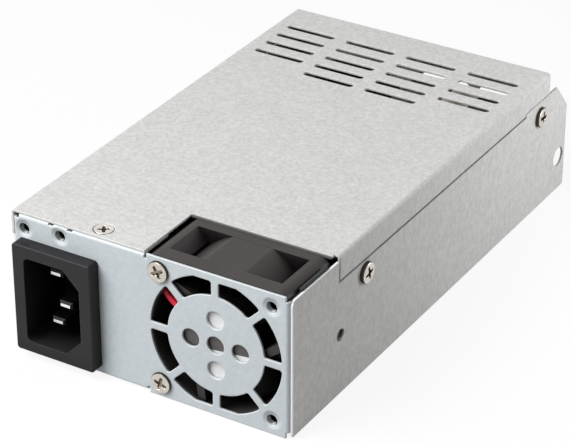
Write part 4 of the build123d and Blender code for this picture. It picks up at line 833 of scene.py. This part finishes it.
def add_side_screws(materials):
    """The four cover screws in the side walls."""
    low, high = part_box("cover_side_screws")
    radius = (high.z - low.z) / 2
    height = (low.z + high.z) / 2
    places = []
    for side, wall in ((-1, case_low.x), (1, case_high.x)):
        places += [turned((wall, y, height), (side, 0, 0)) for y in (low.y + radius, high.y - radius)]
    add_screws("side_screw_set", places, SIDE_SCREW_TURNS, radius, high.x - case_high.x, COVER_SCREW_SHANK,
               SIDE_SCREW_LENGTH, materials, "cover_side_screws", dome=SIDE_SCREW_DOME)


def add_top_screw(materials):
    """The countersunk screw in the lid."""
    low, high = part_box("cover_top_screw")
    middle = (low + high) / 2
    place = turned((middle.x, middle.y, high.z - SUNK_EDGE), (0, 0, 1))
    radius = (high.x - low.x) / 2 - TOP_SCREW_GAP
    add_screws("top_screw", [place], [TOP_SCREW_TURN], radius, SUNK_EDGE, COVER_SCREW_SHANK,
               high.z - low.z - SUNK_EDGE, materials, "cover_top_screw", sunk=TOP_SCREW_SUNK)


# The finer pieces

def add_threads(material):
    """The thread inside the four holes of the front panel, a fine ridge that winds inwards."""
    vertices, faces = [], []
    total = int((THREAD_LENGTH - THREAD_PITCH) / THREAD_PITCH * THREAD_STEPS)
    for name in THREAD_NAMES:
        centre = Vector((mounts[name].x, panel_low.y, mounts[name].z))
        for step in range(total + 1):
            turn = step / THREAD_STEPS
            angle = 2 * math.pi * turn
            along = THREAD_START + THREAD_PITCH * turn
            fade = rise(turn * 2) * rise((total - step) / THREAD_STEPS * 2)
            top = THREAD_HOLE - (THREAD_HOLE - THREAD_CREST) * fade
            for radius, shift in ((THREAD_HOLE, 0.0), (top, 0.4), (THREAD_HOLE, 0.8)):
                depth = along + shift * THREAD_PITCH
                vertices.append(centre + Vector((radius * math.cos(angle), depth, radius * math.sin(angle))))
            if step:
                base = len(vertices) - 6
                faces.append((base, base + 1, base + 4, base + 3))
                faces.append((base + 1, base + 2, base + 5, base + 4))
                faces.append((base + 2, base, base + 3, base + 5))
    add_piece("hole_threads", vertices, faces, [material])


def squared(value):
    """A sine or cosine bent towards 1 and -1, so that a circle becomes a rounded square."""
    return math.copysign(abs(value) ** WIRE_SQUARENESS, value)


def wound_path(centre, low, high, outer, inner, wire, start, sweep, turns):
    """Points of a wire that winds round a ring core, laid flat."""
    half_height = (high - low) / 2 + wire
    half_width = (outer - inner) / 2 + wire
    points = []
    for step in range(turns * WIRE_STEPS + 1):
        turn = 2 * math.pi * step / WIRE_STEPS
        angle = math.radians(start + sweep * step / (turns * WIRE_STEPS))
        radius = (outer + inner) / 2 + squared(math.cos(turn)) * half_width
        height = (high + low) / 2 + squared(math.sin(turn)) * half_height
        points.append((centre.x + radius * math.cos(angle), centre.y + radius * math.sin(angle), height))
    return points


def add_ring_wire(name, core, winding, hole_share, runs, wire, material):
    """A copper winding of separate turns that stands for the plain one."""
    low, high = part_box(core)
    outer = (high.x - low.x) / 2
    inner = outer * hole_share
    curve = new_tube(name, wire / 2, 2, material)
    for start, sweep in runs:
        turns = int(math.radians(sweep) * (inner - wire / 2) / (wire * WIRE_SPACING))
        points = wound_path((low + high) / 2, low.z, high.z, outer, inner, wire / 2, start, sweep, turns)
        add_spline(curve, "POLY", points).use_smooth = True
    attach(bpy.data.objects.new(name, curve), winding)


def can_top_points(x, y, top, radius, turn):
    """The points of one scored capacitor top: its middle, then its rings."""
    level = top + CAN_LIFT
    points = [(x, y, level - SCORE_DEPTH)]
    for ring in range(1, CAN_RINGS + 1):
        r = radius * ring / CAN_RINGS
        sink = CAN_LIFT + CAN_SINK if ring == CAN_RINGS else 0.0
        within = rise((SCORE_REACH * radius - r) / SCORE_DEPTH)
        for step in range(CAN_SEGMENTS):
            angle = 2 * math.pi * step / CAN_SEGMENTS
            from_score = min(abs(math.sin(1.5 * (angle - turn))), 0.9) * r
            groove = SCORE_DEPTH * (1 - rise(from_score / SCORE_WIDTH)) * within
            points.append((x + r * math.cos(angle), y + r * math.sin(angle), level - groove - sink))
    return points


def add_can_tops(name, node, radius, columns, rows, material):
    """Scored aluminium tops of round capacitors, just inside their sleeves' rims."""
    low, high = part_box(node)
    vertices, faces = [], []
    for column in range(columns):
        for row in range(rows):
            x = low.x + radius + (high.x - low.x - 2 * radius) * column / max(1, columns - 1)
            y = low.y + radius + (high.y - low.y - 2 * radius) * row / max(1, rows - 1)
            first = len(vertices)
            vertices += can_top_points(x, y, high.z, radius * CAN_SHARE, 0.9 * column + 2.1 * row)
            faces += fan_faces(first, first + 1, CAN_SEGMENTS)
            faces += band_faces(first + 1, CAN_RINGS, CAN_SEGMENTS)
    add_piece(name, vertices, faces, [material])


def add_bush_web(material):
    """The thin dished web of rubber that closes the cable bush, with a round bead on it."""
    low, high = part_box("cable_bush")
    centre = (low + high) / 2
    half_height = (high.z - low.z) / 2 - BUSH_LIP - BUSH_RIM + WEB_OVERLAP
    straight = (high.x - low.x - (high.z - low.z)) / 2
    vertices = []
    for side in (-1, 1):
        for ring in range(WEB_RINGS + 1):
            share = ring / WEB_RINGS
            bead = WEB_BEAD * math.exp(-((share - WEB_BEAD_PLACE) / WEB_BEAD_WIDTH) ** 2)
            y = centre.y - WEB_SET_BACK + WEB_DISH * (1 - share * share) + bead + side * WEB_HALF_THICKNESS
            for step in range(WEB_SEGMENTS):
                angle = 2 * math.pi * step / WEB_SEGMENTS
                x = half_height * math.cos(angle) + math.copysign(straight, math.cos(angle))
                z = half_height * math.sin(angle)
                vertices.append((centre.x + x * share, y, centre.z + z * share))
    rings = WEB_RINGS + 1
    across = rings * WEB_SEGMENTS
    rim = WEB_RINGS * WEB_SEGMENTS
    faces = band_faces(0, rings, WEB_SEGMENTS) + band_faces(across, rings, WEB_SEGMENTS, flip=True)
    for step in range(WEB_SEGMENTS):
        following = (step + 1) % WEB_SEGMENTS
        faces.append((rim + step, across + rim + step, across + rim + following, rim + following))
    add_piece("cable_bush_web", vertices, faces, [material])


def add_fan_lead(material):
    """The red fan lead, slack where it leaves the motor, so that it bows into the front opening."""
    plug_low, plug_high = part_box("fan_plug")
    lead_low, lead_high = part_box("fan_lead_red")
    angle = math.radians(LEAD_ANGLE)
    along = Vector((math.cos(angle), 0, math.sin(angle)))
    beside = Vector((-math.sin(angle), 0, math.cos(angle)))
    front = Vector((0, -1, 0))
    origin = Vector((fan_centre.x, lead_low.y + LEAD_RADIUS, fan_centre.z)) + beside * LEAD_SHIFT
    points = []
    for distance, to_side, to_front in LEAD_ROUTE:
        bow = (beside * to_side + front * to_front) * LEAD_BOW
        points.append(origin + along * distance * MM + bow)
    down_x = (plug_low.x + plug_high.x) / 2 + LEAD_SHIFT
    down_y = lead_high.y - LEAD_RADIUS
    points += [
        Vector((fan_low.x, fan_low.y, lead_high.z)) + LEAD_CORNER,
        (down_x, down_y, lead_high.z - LEAD_DROP),
        (down_x, down_y, plug_high.z - LEAD_IN_PLUG),
    ]
    curve = new_tube("fan_red_lead", LEAD_RADIUS + LEAD_SLEEVE, 4, material)
    curve.use_fill_caps = True
    spline = add_spline(curve, "NURBS", points)
    spline.order_u = 3
    spline.use_endpoint_u = True
    spline.resolution_u = 8
    attach(bpy.data.objects.new("fan_red_lead", curve), "fan_lead_red")


def add_fan_crown(material):
    """The level middle of the fan housing's top between its two flanges."""
    front = fan_low.y + FAN_FRONT_RIM - CROWN_OVERLAP
    back = fan_high.y - FAN_BACK_RIM + CROWN_OVERLAP
    flat = fan_high.z - CROWN_INSET - fan_centre.z - DUCT_DROP
    upper = []
    for step in range(-CROWN_STEPS, CROWN_STEPS + 1):
        x = CROWN_REACH * step / CROWN_STEPS
        duct = min(flat, math.sqrt(DUCT_RADIUS ** 2 - x * x))
        fade = 1 - rise((abs(x) - CROWN_FLAT) / (CROWN_REACH - CROWN_FLAT))
        upper.append((fan_centre.x + x, fan_centre.z + duct + DUCT_DROP * fade))
    outline = upper + [(x, z - CROWN_THICKNESS) for x, z in reversed(upper)]
    count = len(outline)
    vertices = [(x, y, z) for y in (front, back) for x, z in outline]
    faces = [tuple(reversed(range(count))), tuple(range(count, 2 * count))]
    for step in range(count):
        following = (step + 1) % count
        faces.append((step, following, count + following, count + step))
    add_piece("fan_crown", vertices, faces, [material])


# The looks

plain = {}
for name, colour, rough, *names in METALS:
    plain[name] = metal_material(name, colour, rough)
    dress(plain[name], *names)
for name, colour, rough, *names in PLASTICS:
    plain[name] = plastic_material(name, colour, rough)
    dress(plain[name], *names)

dress(zinc_material("galvanised", GALVANISED, shadow=cover_shadow), "top_cover")
dress(zinc_material("chassis_zinc", GALVANISED, shadow=chassis_shadow, shade=0.14, light=wall_edge_highlight),
      "base_chassis")
dress(zinc_material("panel_zinc", PANEL_ZINC, rough=0.55, grain=0.08, grain_scale=1900,
                    streak=(700, 700, 700), edge_radius=0.4 * MM, edge_light=1.75, relief=panel_relief,
                    shadow=panel_shadow, shade=0.05), "front_panel")
# The pins: a dark colour as a painted reflection of the dark housing, and a painted highlight on faces to the
# front
dress(metal_material("pin_metal", (0.02, 0.019, 0.018), 0.5, edge_radius=0.1 * MM, front=PIN_FRONT_HIGHLIGHT),
      "line_pin", "neutral_pin", "earth_pin")
# Painted highlights on the edges and painted shade in hollows
dress(plastic_material("black_plastic", (0.024, 0.0225, 0.0245), edge_radius=0.3 * MM, edge_light=2.2,
                       specular=0.2, hollow=12 * MM), "inlet_housing", "transformer_bobbin", "filter_base")
# Painted highlights on the edges and painted shade in hollows
fan_plastic = plastic_material("fan_plastic", (0.050, 0.0445, 0.043), 0.42, edge_radius=0.15 * MM,
                               specular=0.2, hollow=9 * MM)
dress(fan_plastic, "fan_frame", "fan_impeller")
dress(plastic_material("tape", (0.85, 0.78, 0.64), 0.3, texture=500, bump_strength=0.3),
      "transformer_winding", "standby_transformer")
dress(banded_material("wrapped_core", "X", WRAPPED_PART, ((0.88, 0.82, 0.7), (0.025, 0.024, 0.024)),
                      (0.0, 0.0)), "transformer_tape")
dress(banded_material("device", "Z", DEVICE_BODY, ((0.02, 0.02, 0.021), (0.6, 0.6, 0.6)), (0.0, 1.0)),
      "primary_transistors", "output_rectifiers")
dress(banded_material("fuse", "Y", FUSE_GLASS, ((0.5, 0.53, 0.52), (0.62, 0.6, 0.55)), (0.0, 1.0), 0.2),
      "mains_fuse")
dress(label_material("label"), "fan_label")

# The pieces

# The screws' recesses and head sides take painted shade
add_fan_screws([plain["nickel"], plain["light_recess"], plain["side_nickel"]])
add_side_screws([plain["nickel"], plain["recess_nickel"], plain["side_nickel"]])
add_top_screw([plain["bright_nickel"], plain["recess_nickel"], plain["side_nickel"]])
add_threads(plain["thread_steel"])
add_bush_web(plain["rubber"])
add_fan_lead(plain["red_lead"])
add_fan_crown(fan_plastic)
for ring_wire in RING_WIRES:
    add_ring_wire(*ring_wire, plain["copper"])
for can_top in CAN_TOPS:
    add_can_tops(*can_top, plain["aluminium"])

# The studio

add_camera()
add_world()
add_area_light("key", KEY_PLACE, KEY_TARGET, KEY_SIZE, KEY_POWER)
add_area_light("side", SIDE_PLACE, SIDE_TARGET, SIDE_SIZE, SIDE_POWER)
add_floor()
bpy.context.scene.view_settings.view_transform = "Standard"
